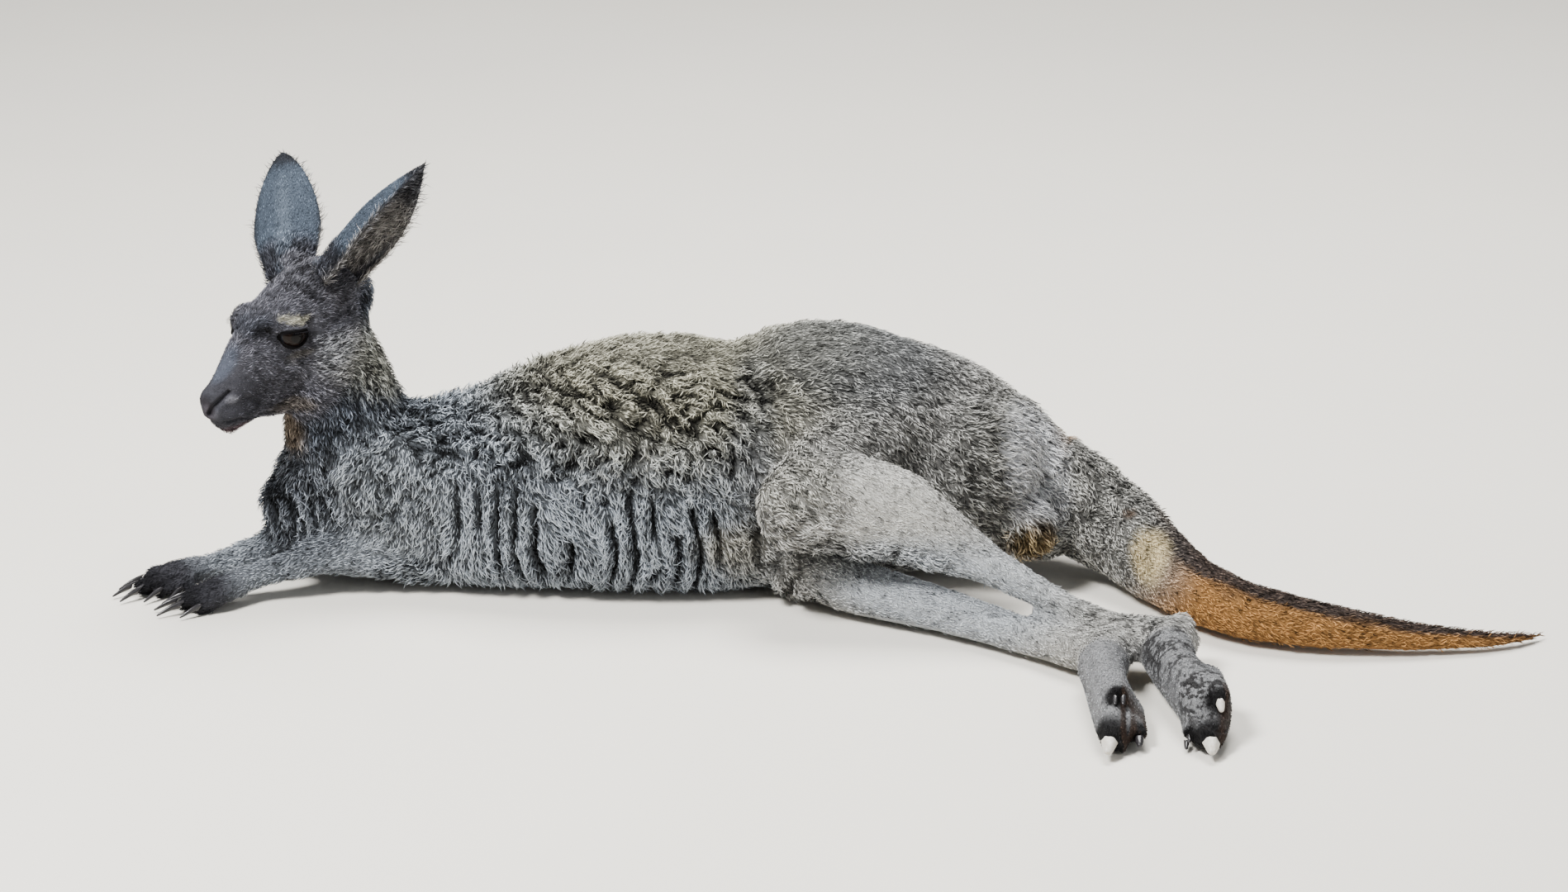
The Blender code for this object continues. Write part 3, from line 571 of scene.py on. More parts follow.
def ear_surface(node):
    """Closed cupped leaf, fitted to its node's box at the tip; the root stays in the head."""
    direction, opening, across = ear_axes(node)
    curl, half_width, root_width, taper = EAR_LIES[node][2:]
    sheets = []
    for outer in (True, False):
        rows = []
        for row in range(EAR_ROWS + 1):
            share = row / EAR_ROWS
            swell = ear_width(share, root_width, taper)
            half_arc = max(0.0012, half_width * swell)
            opened = min(1.0, share / EAR_WIDEST)
            half_angle = math.radians(EAR_ROOT_CURL + (curl - EAR_ROOT_CURL) * opened)
            radius = half_arc / half_angle
            middle = radius * (1 - EAR_CENTRING * (1 - math.cos(half_angle)))
            for column in range(EAR_COLUMNS + 1):
                lean = 2 * column / EAR_COLUMNS - 1
                turn = lean * half_angle
                thick = EAR_THICKNESS * (1 - 0.75 * abs(lean) ** 3) * (1 - 0.5 * share)
                fold = 0.0012 * math.cos(lean * 9) * math.exp(-(share / 0.4) ** 2)
                depth = radius + (thick / 2 if outer else -thick / 2 + fold)
                place = direction * (share * EAR_LENGTH) + across * depth * math.sin(turn)
                place = place + opening * (middle - depth * math.cos(turn))
                rows.append(place)
        sheets.append(np.array(rows).reshape(EAR_ROWS + 1, EAR_COLUMNS + 1, 3))
    points = np.concatenate([sheet.reshape(-1, 3) for sheet in sheets])
    box = np.array(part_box(node))
    own = np.array((points.min(axis=0), points.max(axis=0)))
    tip_side = (direction > 0).astype(int)
    ends = box[tip_side, range(3)] - own[tip_side, range(3)]
    middles = (box.sum(axis=0) - own.sum(axis=0)) / 2
    points += np.where(np.abs(direction) > 0.3, ends, middles)
    count = (EAR_ROWS + 1) * (EAR_COLUMNS + 1)
    index = np.arange(2 * count).reshape(2, EAR_ROWS + 1, EAR_COLUMNS + 1)
    faces = []
    for row in range(EAR_ROWS):
        for column in range(EAR_COLUMNS):
            faces.append((index[0, row, column], index[0, row + 1, column],
                          index[0, row + 1, column + 1], index[0, row, column + 1]))
            faces.append((index[1, row, column], index[1, row, column + 1],
                          index[1, row + 1, column + 1], index[1, row + 1, column]))
    rim = [(row, 0) for row in range(EAR_ROWS)] + [(EAR_ROWS, col) for col in range(EAR_COLUMNS)]
    rim += [(row, EAR_COLUMNS) for row in range(EAR_ROWS, 0, -1)]
    rim += [(0, col) for col in range(EAR_COLUMNS, 0, -1)]
    for here, there in zip(rim, rim[1:] + rim[:1]):
        faces.append((index[0][here], index[1][here], index[1][there], index[0][there]))
    return points, [tuple(int(i) for i in face) for face in faces]


def append_ears(mesh):
    """Add both ears to the skin's mesh."""
    builder = bmesh.new()
    builder.from_mesh(mesh)
    for node in EARS:
        points, faces = ear_surface(node)
        corners = [builder.verts.new(point) for point in points]
        added = [builder.faces.new([corners[i] for i in face]) for face in faces]
        bmesh.ops.recalc_face_normals(builder, faces=added)
    builder.to_mesh(mesh)
    builder.free()


def unwrap(shape):
    """Unwrap the skin's own shape into the bake map."""
    bpy.context.view_layer.objects.active = shape
    shape.select_set(True)
    shape.data.uv_layers.new(name=BAKE_MAP)
    bpy.ops.object.mode_set(mode="EDIT")
    bpy.ops.mesh.select_all(action="SELECT")
    bpy.ops.uv.smart_project(angle_limit=math.radians(66), island_margin=0.0015,
                             scale_to_bounds=True)
    bpy.ops.object.mode_set(mode="OBJECT")
    shape.select_set(False)


# ---- lie of the coat, furrows and markings --------------------------------------------------
NODES = FLESH + list(EARS)


# direction of the hair on a kind of part, or the two nodes whose centres it runs between
FLOWS = {
    "neck": (0.25, 0, -0.97), "chest": (0.45, 0, -0.90), "abdomen": (0.45, 0, -0.90),
    "pelvis": (0.85, 0, -0.50), "thigh": (0.70, -0.35, -0.62), "upper_arm": (-0.2, -0.2, -0.95),
}
HEAD_FLOW = (-0.95, 0, -0.25)          # in the head frame
WAYS = {
    "shank": ("shank_{}", "foot_{}"), "foot": ("shank_{}", "claw_{}_toe_4"),
    "forearm": ("forearm_{}", "hand_{}"), "hand": ("forearm_{}", "claw_{}_finger_3"),
    "tail_root": ("tail_root", "tail_upper"), "tail_upper": ("tail_root", "tail_middle"),
    "tail_middle": ("tail_upper", "tail_tip"), "tail_tip": ("tail_middle", "tail_tip"),
}


def part_flow(node):
    """Direction in which the hair of a part lies, before it is laid on the skin."""
    kind = kind_of(node)
    if kind in ("head", "nose"):
        return from_head(np.array(HEAD_FLOW)) - HEAD_ORIGIN
    if kind == "ear":
        return unit(np.array(EAR_LIES[node][0]))
    if kind in FLOWS:
        return unit(np.array(FLOWS[kind]))
    side = "left" if node.endswith("left") else "right"
    start, end = (name.format(side) for name in WAYS[node if kind == "tail" else kind])
    return unit(way(start, end) * ((0.3, 1, 1) if kind == "foot" else 1))


TRUNK_AXIS_Y = float(centre("abdomen")[1])
TRUNK_AXIS_Z = float(centre("abdomen")[2])
TRUNK_TOP = float(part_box("abdomen")[1][2])
ROPE_SPACING = 0.022          # between the upright ropes of wool on the lower flank
LOCK_SPACING = 0.012          # between the slanting locks higher up
LOCK_LENGTH = 0.018
ROPES_BELOW = (0.150, 0.105)  # heights where the ropes start and are full
ROPES_FROM = (float(centre("chest")[0]), float(centre("chest")[0]) + 0.07)
ROPES_TO = (float(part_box("abdomen")[1][0]) + 0.01, float(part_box("abdomen")[1][0]) - 0.05)
# fields of noise, each from its own seed
FURROWS = noise_table(11)
WARP = noise_table(12)
CLUMPS = noise_table(13)


def wander(places, shifts):
    """Three smooth random numbers about 0 at each place."""
    return np.stack([noise(WARP, places + shift) - 0.5 for shift in shifts], axis=1)


def valley(points):
    """0 at the bottom of a furrow in the wool, 1 on the lock between two furrows."""
    drift = wander(points / 0.060, (0, 7.3, 15.1))
    x = points[:, 0] + drift[:, 0] * 0.026
    round_body = np.arctan2(points[:, 2] - TRUNK_AXIS_Z, -(points[:, 1] - TRUNK_AXIS_Y))
    arc = round_body * 0.125 + drift[:, 1] * 0.030
    layer = drift[:, 2] * 0.6 + np.where(points[:, 1] > TRUNK_AXIS_Y, 9.0, 0.0)
    ropes = (np.abs(np.sin(math.pi * x / ROPE_SPACING)) - 0.12) / 0.80
    bridges = noise(FURROWS, np.stack([x / 0.030, arc / 0.045, layer], axis=1))
    ropes = 1 - (1 - ropes.clip(0, 1)) * ramp(bridges, 0.34, 0.50)
    slant_a = (x * 0.80 + arc * 0.60) / LOCK_SPACING
    slant_b = (-x * 0.60 + arc * 0.80) / LOCK_LENGTH
    locks = noise(FURROWS, np.stack([slant_b + 5.5, slant_a + 3.3, layer + 4], axis=1))
    locks = np.clip((np.abs(locks - 0.5) - 0.02) / 0.25, 0, 1)
    low = ramp(points[:, 2], *ROPES_BELOW)
    low = low * ramp(points[:, 0], *ROPES_FROM) * ramp(points[:, 0], *ROPES_TO)
    return locks + (ropes - locks) * low


BORDER_PASSES = 48            # blur of the coat numbers over the parts' borders
TRUNK_PASSES = 144            # further blur of the trunk's colours


class Surface:
    """The finished skin as arrays: corners, normals, parts, lie of the hair and coat numbers."""

    def __init__(self, shape):
        mesh = shape.data
        self.points = vertex_array(mesh)
        self.edges = edge_array(mesh)
        self.parts = nearest_parts(self.points, NODES)
        self.normals = vertex_normals(mesh)

    def measure(self, colours):
        """Spread each part's coat numbers, colours and lie over the borders."""
        columns = [table_column(NODES, self.parts, column) for column in range(LENGTH, PASSES)]
        numbers = np.stack(columns, axis=1)
        roots = np.array([colours[kind_of(node)][0] for node in NODES])[self.parts]
        tips = np.array([colours[kind_of(node)][1] for node in NODES])[self.parts]
        lies = np.array([part_flow(node) for node in NODES])[self.parts]
        trunk = self.of_kind("chest", "abdomen", "pelvis") > 0
        top = ramp(self.points[:, 2], 0.45 * TRUNK_TOP, 0.95 * TRUNK_TOP)
        lies[trunk] += top[trunk, None] * np.array((0.9, 0, 0.45))
        packed = np.concatenate([numbers, roots, tips, unit(lies)], axis=1)
        packed = blurred(packed, self.edges, BORDER_PASSES)
        self.length, self.width, self.lift, self.density, self.furrow = packed[:, :5].T
        self.root_colour, self.tip_colour = packed[:, 5:8], packed[:, 8:11]
        far = blurred(packed[:, 5:11], self.edges, TRUNK_PASSES)
        self.root_colour[trunk], self.tip_colour[trunk] = far[trunk, :3], far[trunk, 3:]
        self.lie = unit(levelled(packed[:, 11:14], self.normals))
        self.valley = valley(self.points)
        self.local = to_head(self.points)
        self.change_wool()
        self.line_ears()

    def of_kind(self, *kinds):
        """1 on the parts of these kinds, 0 elsewhere."""
        chosen = [index for index, node in enumerate(NODES) if kind_of(node) in kinds]
        return np.isin(self.parts, chosen).astype(float)

    def of_nodes(self, *names):
        return np.isin(self.parts, [NODES.index(name) for name in names]).astype(float)

    def change_wool(self):
        """Longer or shorter wool where it does not follow the parts."""
        numbers = np.stack([self.length, self.width, self.lift, self.furrow], axis=1)
        for node, share, radii, wool in WOOL_ZONES:
            near = blob(self.points, at(node, share), radii)[:, None]
            numbers = blend(numbers, np.array(wool), near)
        on_head = self.of_kind("head", "nose", "neck")
        local = folded(self.local)
        for place, radii, wool in HEAD_WOOL_ZONES:
            near = (on_head * blob(local, np.array(place), radii))[:, None]
            numbers = blend(numbers, np.array(wool), near)
        self.length, self.width, self.lift, self.furrow = numbers.T

    def line_ears(self):
        """Short dark hair on the backs of the ears, long pale hair inside them."""
        for node in EARS:
            direction, opening, across = ear_axes(node)
            offset = self.points - centre(node)
            along = offset @ direction / EAR_LENGTH + 0.5
            side = offset @ across
            reach = np.abs(side) / np.abs(side[self.parts == NODES.index(node)]).max()
            mine = self.of_nodes(node)
            inner = mine * ramp(self.normals @ opening, 0.0, 0.25)
            back = mine - inner
            tint(self, back * ramp(along, 0.86, 0.98), "17181b", "2d2f35")
            tint(self, back * ramp(reach, 0.72, 0.98) * 0.8, "191b20", "33363d")
            base = mine * ramp(along, 0.40, 0.22)
            tint(self, base * 0.9, "101013", "3c3c42")
            tint(self, back * ramp(reach, 0.34, 0.05) * ramp(along, 0.95, 0.55) * 0.55,
                 "2c333d", "7a8694")
            tint(self, inner, "3b3938", "b9b4ae")
            tint(self, inner * ramp(along, 0.55, 0.85), "222226", "6b6c70")
            # painted shade along one rim inside each cupped ear
            near_rim = mine * ramp(side / np.abs(side).max(), *EAR_DARK_RIM[node])
            tint(self, inner * near_rim * 0.85, "1a1a1e", "515258")
            self.length = blend(self.length, 7 + 8 * reach, inner)
            self.lift = blend(self.lift, 26, inner)
            inner = inner * (1 - base)
            self.length = blend(self.length, 10, base)
            self.lift = blend(self.lift, 30, base)
            fan = direction * 0.85 + across * np.sign(side)[:, None] * 0.55
            fan = unit(levelled(fan, self.normals))
            self.lie = np.where(inner[:, None] > 0.5, fan, self.lie)


SURFACE = {}                  # the skin and its arrays, kept for the coat's operator


# ---- coat -----------------------------------------------------------------------------------
TUFT_FACES = np.array(((2, 1, 0), (0, 1, 4), (0, 4, 3), (1, 2, 5), (1, 5, 4), (2, 0, 3),
                       (2, 3, 5), (3, 4, 6), (4, 5, 6), (5, 3, 6)))
TUFT_CORNER_UV = np.array(((0, 0), (1, 0), (0.5, 0), (0, 0.5), (1, 0.5), (0.5, 0.5), (0.5, 1)))
TUFT_PATCH = 0.003            # width of a tuft's patch on the bake map
LARGEST_PIECE = 19500         # tufts in one coat piece
ROOT_DEPTH = 0.0008           # how far a tuft's root is sunk in the skin
TIP_DROOP = 0.25              # how much a tuft's outer half leans back to the skin


def triangle_arrays(mesh):
    """Corners, loops and areas of the mesh's triangles."""
    mesh.calc_loop_triangles()
    triangles = mesh.loop_triangles
    return (read_array(triangles, "vertices", 3, int), read_array(triangles, "loops", 3, int),
            read_array(triangles, "area", 1)[:, 0])


def spread_roots(mesh, density, total, rng):
    """Evenly spread roots: triangle of each, and its weights on the three corners."""
    corners, loops, areas = triangle_arrays(mesh)
    wanted = np.cumsum(areas * density[corners].mean(axis=1))
    ticks = (np.arange(total) + rng.random(total)) / total * wanted[-1]
    chosen = np.searchsorted(wanted, ticks).clip(0, len(areas) - 1)
    first, second = rng.random(total), rng.random(total)
    root = np.sqrt(first)
    weights = np.stack([1 - root, root * (1 - second), root * second], axis=1)
    return corners[chosen], loops[chosen], weights


def mixed(values, corners, weights):
    """Values at the roots from those at the corners."""
    if values.ndim == 1:
        return (values[corners] * weights).sum(axis=1)
    return (values[corners] * weights[..., None]).sum(axis=1)


def tuft_points(root, normal, lie, length, width, lift, sway):
    """Seven corners of every tuft: two three-sided rings and a tip."""
    side = np.cross(normal, lie)
    base = root - normal * ROOT_DEPTH
    up, along = np.sin(lift)[:, None], np.cos(lift)[:, None]
    middle = root + lie * along * length * 0.5 + normal * up * length * 0.5
    outer = lie * (1 - TIP_DROOP * up) + normal * up * TIP_DROOP + side * sway[:, None]
    end = middle + outer * length * 0.5
    spine = unit(middle - base)
    outward = np.cross(spine, side)
    outward *= np.sign((outward * normal).sum(axis=1, keepdims=True))
    half = width[:, None] / 2
    rings = []
    for place, share in ((base, 0.75), (middle, 1.0)):
        rings += [place - side * half * share, place + side * half * share,
                  place + outward * half * share * 0.9]
    points = np.stack(rings + [end], axis=1)
    points[..., 2] = np.maximum(points[..., 2], LAID_ON_FLOOR)
    return points


def tuft_mesh(name, points, uv_roots, shades, strands):
    """A mesh of solid tufts with the bake map, colours and strand coordinates."""
    count = len(points)
    mesh = bpy.data.meshes.new(name)
    mesh.vertices.add(count * 7)
    mesh.vertices.foreach_set("co", points.astype(np.float32).ravel())
    faces = (TUFT_FACES[None] + 7 * np.arange(count)[:, None, None]).reshape(-1)
    mesh.loops.add(len(faces))
    mesh.loops.foreach_set("vertex_index", faces.astype(np.int32))
    mesh.polygons.add(len(faces) // 3)
    mesh.polygons.foreach_set("loop_start", np.arange(0, len(faces), 3, dtype=np.int32))
    mesh.update(calc_edges=True)
    patch = (TUFT_CORNER_UV - 0.5) * TUFT_PATCH
    corner_uv = (uv_roots[:, None, :] + patch[None]).clip(0.0005, 0.9995)
    uv = mesh.uv_layers.new(name=BAKE_MAP)
    uv.uv.foreach_set("vector", corner_uv[:, TUFT_FACES.ravel()].astype(np.float32).ravel())
    store_colours(mesh, shades.reshape(-1, 3))
    layer = mesh.attributes.new("strand", "FLOAT_VECTOR", "POINT")
    layer.data.foreach_set("vector", strands.astype(np.float32).ravel())
    mesh.shade_smooth()
    return mesh


SLOPE_STEP = 0.003            # over which a furrow's slope is measured
LOCK_PULL = 2.2               # how strongly tufts lean toward the middle of their lock
JITTER = 0.22                 # spread of the tufts' directions
SWAY = 0.34                   # spread of their sideways curl
FURROW_SHORTER = 0.60         # share of its length that wool loses at the bottom of a furrow
TONES = (0.12, 2.1)           # darkest and lightest tone of a tuft
LIGHT_TIP = 2.4               # how much lighter a pale tip is
BRIGHTEST = 0.92              # lightest channel of any tip


def grow_coat(skin, surface, settings, finish):
    """Root, lay and colour every tuft, and split them into pieces by part of the body."""
    rng = np.random.default_rng(settings.seed)
    density = surface.density.copy()
    below = (surface.normals[:, 2] < -0.6) & (surface.points[:, 2] < 0.012)
    density[below] *= 0.05
    density *= surface.haired_share
    total = settings.tufts
    corners, loops, weights = spread_roots(skin.data, density, total, rng)
    uv_roots = mixed(read_array(skin.data.uv_layers[BAKE_MAP].uv, "vector", 2), loops, weights)
    root = mixed(surface.points, corners, weights)
    normal = unit(mixed(surface.normals, corners, weights))
    lie = mixed(surface.lie, corners, weights)
    length = mixed(surface.length, corners, weights) * 0.001
    width = mixed(surface.width, corners, weights) * 0.001
    lift = np.radians(mixed(surface.lift, corners, weights))
    furrow = mixed(surface.furrow, corners, weights) * 0.001
    here = valley(root)
    slope = np.stack([valley(root + step) - here for step in np.eye(3) * SLOPE_STEP], axis=1)
    slope = levelled(slope, normal)
    pull = (furrow / 0.005)[:, None] * slope * LOCK_PULL
    wave = wander(root / 0.018, (3.1, 9.7, 21.3))
    jitter = rng.normal(0, JITTER, (total, 3))
    lie = unit(lie) + pull + wave * (0.6 + 100 * furrow[:, None]) + jitter
    lie = unit(levelled(lie, normal))
    woolly = np.clip(furrow / 0.004, 0, 1)
    length = length * rng.uniform(0.75, 1.25, total) * (1 - FURROW_SHORTER * woolly * (1 - here))
    lift = lift * rng.uniform(0.55, 1.45, total)
    width = width * rng.uniform(0.7, 1.2, total)
    sway = rng.normal(0, SWAY, total)
    points = tuft_points(root, normal, lie, length[:, None], width, lift, sway)
    # painted shade: tufts rooted at the bottom of a furrow, and tips lying over one, are darkened
    # as the shade between the locks
    painted_furrow_shade = 1 - (1 - here) * woolly * settings.furrow_shade
    painted_tip_shade = 1 - (1 - valley(points[:, 6])) * woolly * settings.furrow_shade * 0.85
    clump = noise(CLUMPS, root / (0.0045 + 0.0050 * woolly[:, None])) - 0.5
    calm = ramp(length, 0.002, 0.008) * 0.72 + 0.28
    tone = 1 + calm * (rng.normal(0, settings.variation, total) + clump * settings.clump_contrast)
    tone = tone.clip(*TONES)
    light = (rng.random(total) < settings.light_tips * calm)[:, None]
    roots = mixed(surface.root_colour, corners, weights) * (tone * painted_furrow_shade)[:, None]
    tips = mixed(surface.tip_colour, corners, weights)
    tips = tips * (tone * np.minimum(painted_furrow_shade, painted_tip_shade))[:, None]
    most = BRIGHTEST / np.maximum(tips.max(axis=1, keepdims=True), 1e-6)
    tips = tips * np.minimum(np.where(light, LIGHT_TIP, 1.0), most)
    middle = roots * 0.55 + tips * 0.45
    shades = np.repeat(np.stack([roots, middle, tips], axis=1), (3, 3, 1), axis=1)
    strands = np.concatenate([np.broadcast_to(TUFT_CORNER_UV, (total, 7, 2)),
                              np.repeat(rng.random((total, 1, 1)) * 50, 7, axis=1)], axis=2)
    groups = np.array([kind_of(node) for node in NODES])[surface.parts[corners[:, 0]]]
    for kind in dict.fromkeys(groups):
        members = np.flatnonzero(groups == kind)
        pieces = -(-len(members) // LARGEST_PIECE)
        for number, chosen in enumerate(np.array_split(members, pieces)):
            mesh = tuft_mesh(f"coat_{kind}_{number + 1}", points[chosen], uv_roots[chosen],
                             shades[chosen], strands[chosen])
            piece = linked(mesh.name, mesh)
            mesh.materials.append(finish)
            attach(piece, "root")


# ---- finishes -------------------------------------------------------------------------------
# sizes of the patterns' cells, millimetres
HAIR_ROOTS = 1.2195
SKIN_PATCHES = 6.25
HORN_LINES = 2.381
FLOOR_CLOUDS = 333.3


def fur_finish():
    """Wool and guard hair, grown: light keratin strands that scatter softly, hardly any gloss."""
    finish, tree, shader = new_material("wool_grown", 0.72, Specular_IOR_Level=0.07)
    colour = add_node(tree, "ShaderNodeAttribute", {"attribute_name": "coat"})
    strand = add_node(tree, "ShaderNodeAttribute", {"attribute_name": "strand"})
    # the strand's own coordinates: five streaks across a tuft, less than one along it
    stretch = add_node(tree, "ShaderNodeVectorMath", {"operation": "MULTIPLY"},
                       _0=strand.outputs["Vector"], _1=(5.0, 0.8, 1.0))
    hairs = add_node(tree, "ShaderNodeTexNoise", None, Vector=stretch.outputs["Vector"],
                     Scale=1.0, Detail=1.0)
    tone = add_node(tree, "ShaderNodeMapRange", None, Value=hairs.outputs["Fac"], From_Min=0.3,
                    From_Max=0.7, To_Min=0.62, To_Max=1.32)
    shade = add_node(tree, "ShaderNodeVectorMath", {"operation": "MULTIPLY"},
                     _0=colour.outputs["Color"], _1=tone.outputs["Result"])
    tree.links.new(shade.outputs["Vector"], shader.inputs["Base Color"])
    return finish


def skin_finish():
    """Hide under short hair: matt, with the fine grain of the hairs' roots."""
    finish, tree, shader = new_material("hide_haired", 0.78, Specular_IOR_Level=0.07)
    colour = add_node(tree, "ShaderNodeAttribute", {"attribute_name": "coat"})
    place = add_node(tree, "ShaderNodeTexCoord").outputs["Object"]
    grain = add_node(tree, "ShaderNodeTexNoise", None, Vector=place, Scale=1000 / HAIR_ROOTS,
                     Detail=3.0)
    patch = add_node(tree, "ShaderNodeTexNoise", None, Vector=place, Scale=1000 / SKIN_PATCHES,
                     Detail=2.0)
    tone = add_node(tree, "ShaderNodeMapRange", None, Value=grain.outputs["Fac"], From_Min=0.3,
                    From_Max=0.7, To_Min=0.72, To_Max=1.22)
    wide = add_node(tree, "ShaderNodeMapRange", None, Value=patch.outputs["Fac"], From_Min=0.3,
                    From_Max=0.7, To_Min=0.88, To_Max=1.12)
    both = add_node(tree, "ShaderNodeMath", {"operation": "MULTIPLY"}, _0=tone.outputs["Result"],
                    _1=wide.outputs["Result"])
    shade = add_node(tree, "ShaderNodeVectorMath", {"operation": "MULTIPLY"},
                     _0=colour.outputs["Color"], _1=both.outputs["Value"])
    bump = add_node(tree, "ShaderNodeBump", None, Strength=0.5, Distance=0.0006,
                    Height=grain.outputs["Fac"])
    tree.links.new(shade.outputs["Vector"], shader.inputs["Base Color"])
    tree.links.new(bump.outputs["Normal"], shader.inputs["Normal"])
    return finish


def eye_finish():
    """Living cornea over a dark brown iris: wet, clear and highly glossy under its tear film."""
    finish, tree, shader = new_material("cornea_wet", 0.06, IOR=1.376, Specular_IOR_Level=0.18)
    colour = add_node(tree, "ShaderNodeAttribute", {"attribute_name": "coat"})
    tree.links.new(colour.outputs["Color"], shader.inputs["Base Color"])
    return finish


def claw_finish(name, colour, tip_colour):
    """Horn, grown in layers: smooth, slightly glossy, with fine growth lines along its length."""
    finish, tree, shader = new_material(name, 0.26, IOR=1.55, Specular_IOR_Level=0.35)
    place = add_node(tree, "ShaderNodeTexCoord").outputs["Object"]
    lines = add_node(tree, "ShaderNodeTexNoise", None, Vector=place, Scale=1000 / HORN_LINES,
                     Detail=3.0)
    mix = add_node(tree, "ShaderNodeMix", {"data_type": "RGBA"}, _0=lines.outputs["Fac"],
                   _6=(*colour, 1), _7=(*tip_colour, 1))
    bump = add_node(tree, "ShaderNodeBump", None, Strength=0.35, Distance=0.0003,
                    Height=lines.outputs["Fac"])
    tree.links.new(mix.outputs[2], shader.inputs["Base Color"])
    tree.links.new(bump.outputs["Normal"], shader.inputs["Normal"])
    return finish


def floor_finish(colour):
    """Painted studio floor: even, pale and matt."""
    finish, tree, shader = new_material("floor_paint", 0.85, Specular_IOR_Level=0.2)
    place = add_node(tree, "ShaderNodeTexCoord").outputs["Object"]
    cloud = add_node(tree, "ShaderNodeTexNoise", None, Vector=place, Scale=1000 / FLOOR_CLOUDS,
                     Detail=3.0)
    darker = (*(channel * 0.97 for channel in colour), 1)
    lighter = (*(min(1, channel * 1.03) for channel in colour), 1)
    mix = add_node(tree, "ShaderNodeMix", {"data_type": "RGBA"}, _0=cloud.outputs["Fac"],
                   _6=darker, _7=lighter)
    tree.links.new(mix.outputs[2], shader.inputs["Base Color"])
    return finish


# ---- settings -------------------------------------------------------------------------------
class KangarooSizes(bpy.types.PropertyGroup):
    voxel: FloatProperty(name="Skin grid", description="Grid of the remesh that makes the skin",
                         default=0.0038, min=0.001, unit="LENGTH")
    tufts: IntProperty(name="Tufts", description="Number of tufts in the whole coat",
                       default=143000, min=1000)
    seed: IntProperty(name="Seed", description="Start of the coat's random draws", default=7)
    variation: FloatProperty(name="Variation", description="How much the tufts' tone varies",
                             default=0.32, min=0.0, max=1.0, subtype="FACTOR")
    light_tips: FloatProperty(name="Light tips", description="Share of tufts with pale tips",
                              default=0.28, min=0.0, max=1.0, subtype="FACTOR")
    # painted shade: how far tufts and hide are darkened at the bottom of the furrows
    furrow_shade: FloatProperty(name="Furrow shade", description="How dark the furrows are",
                                default=0.97, min=0.0, max=1.0, subtype="FACTOR")
    clump_contrast: FloatProperty(name="Clump contrast", description="How the locks' tones differ",
                                  default=2.0, min=0.0, max=4.0)
    camera_distance: FloatProperty(name="Camera distance", description="From the body's middle",
                                   default=5.5, min=1.0, unit="LENGTH")
    camera_height: FloatProperty(name="Camera elevation", description="Above the horizon",
                                 default=math.radians(18), unit="ROTATION")
    camera_lens: FloatProperty(name="Lens", description="Focal length in millimetres",
                               default=122.7, min=10.0)


class KangarooColours(bpy.types.PropertyGroup):
    flank_root: colour_property("Flank roots", "Wool of the flank near the skin", "090b10")
    flank_tip: colour_property("Flank tips", "Ends of the wool on the flank", "d8e2ee")
    neck_root: colour_property("Neck roots", "Wool of the neck near the skin", "0c0e12")
    neck_tip: colour_property("Neck tips", "Ends of the wool on the neck", "6c737f")
    head_root: colour_property("Head roots", "Hair of the head near the skin", "16161a")
    head_tip: colour_property("Head tips", "Ends of the hair on the head", "6a6a72")
    rump_root: colour_property("Rump roots", "Wool of the rump near the skin", "343331")
    rump_tip: colour_property("Rump tips", "Ends of the wool on the rump", "cfcec8")
    leg_root: colour_property("Leg roots", "Hair of the legs near the skin", "6e6d69")
    leg_tip: colour_property("Leg tips", "Ends of the hair on the legs", "d0cfcb")
    arm_root: colour_property("Foreleg roots", "Hair of the forelegs near the skin", "1d2026")
    arm_tip: colour_property("Foreleg tips", "Ends of the hair on the forelegs", "dfe8f2")
    hand: colour_property("Hands", "Short dark hair of the hands", "2c2c30")
    foot_root: colour_property("Foot roots", "Hair of the feet near the skin", "3f3d3c")
    foot_tip: colour_property("Foot tips", "Ends of the hair on the feet", "9fa1a4")
    tail_root: colour_property("Tail roots", "Hair of the tail near the skin", "4d3219")
    tail_tip: colour_property("Tail tips", "Ends of the hair on the tail", "d9a263")
    tail_stripe: colour_property("Tail stripe", "Dark line along the top of the tail", "3d3a3b")
    ear_root: colour_property("Ear roots", "Hair of the ears near the skin", "1f242b")
    ear_tip: colour_property("Ear tips", "Ends of the hair on the ears", "596472")
    nose: colour_property("Nose", "Bare skin of the nose", "313237")
    # black bare skin; along the nostrils and the mouth line it is also painted shade
    black: colour_property("Black skin", "Lids, nostrils, toes and pads", "060506")
    horn: colour_property("Claws", "Dark horn of the claws", "1d1c1f")
    nail: colour_property("Nails", "Pale horn of the big toes' nails", "cfd0ce")
    iris: colour_property("Iris", "Very dark brown iris", "120b08")
    floor: colour_property("Floor", "Pale studio floor", "dcd8cf")

    def by_kind(self):
        """Root and tip colour of each kind of coat."""
        return {kind: [np.array(getattr(self, name)) for name in pair]
                for kind, pair in COAT_COLOURS.items()}


COAT_COLOURS = {
    "nose": ("nose", "nose"), "head": ("head_root", "head_tip"), "ear": ("ear_root", "ear_tip"),
    "neck": ("neck_root", "neck_tip"), "chest": ("flank_root", "flank_tip"),
    "abdomen": ("flank_root", "flank_tip"), "pelvis": ("rump_root", "rump_tip"),
    "thigh": ("rump_root", "leg_tip"), "shank": ("leg_root", "leg_tip"),
    "foot": ("foot_root", "foot_tip"), "upper_arm": ("neck_root", "arm_tip"),
    "forearm": ("arm_root", "arm_tip"), "hand": ("hand", "hand"),
    "tail": ("tail_root", "tail_tip"),
}


# ---- markings -------------------------------------------------------------------------------
def at(node, share):
    """A place in a node's box, as shares of its sides."""
    low, high = (np.array(corner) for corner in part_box(node))
    return low + (high - low) * np.array(share)


def along_box(node, axis, shares):
    """Coordinates on one axis at two shares of a node's box."""
    low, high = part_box(node)
    return tuple(low[axis] + (high[axis] - low[axis]) * share for share in shares)
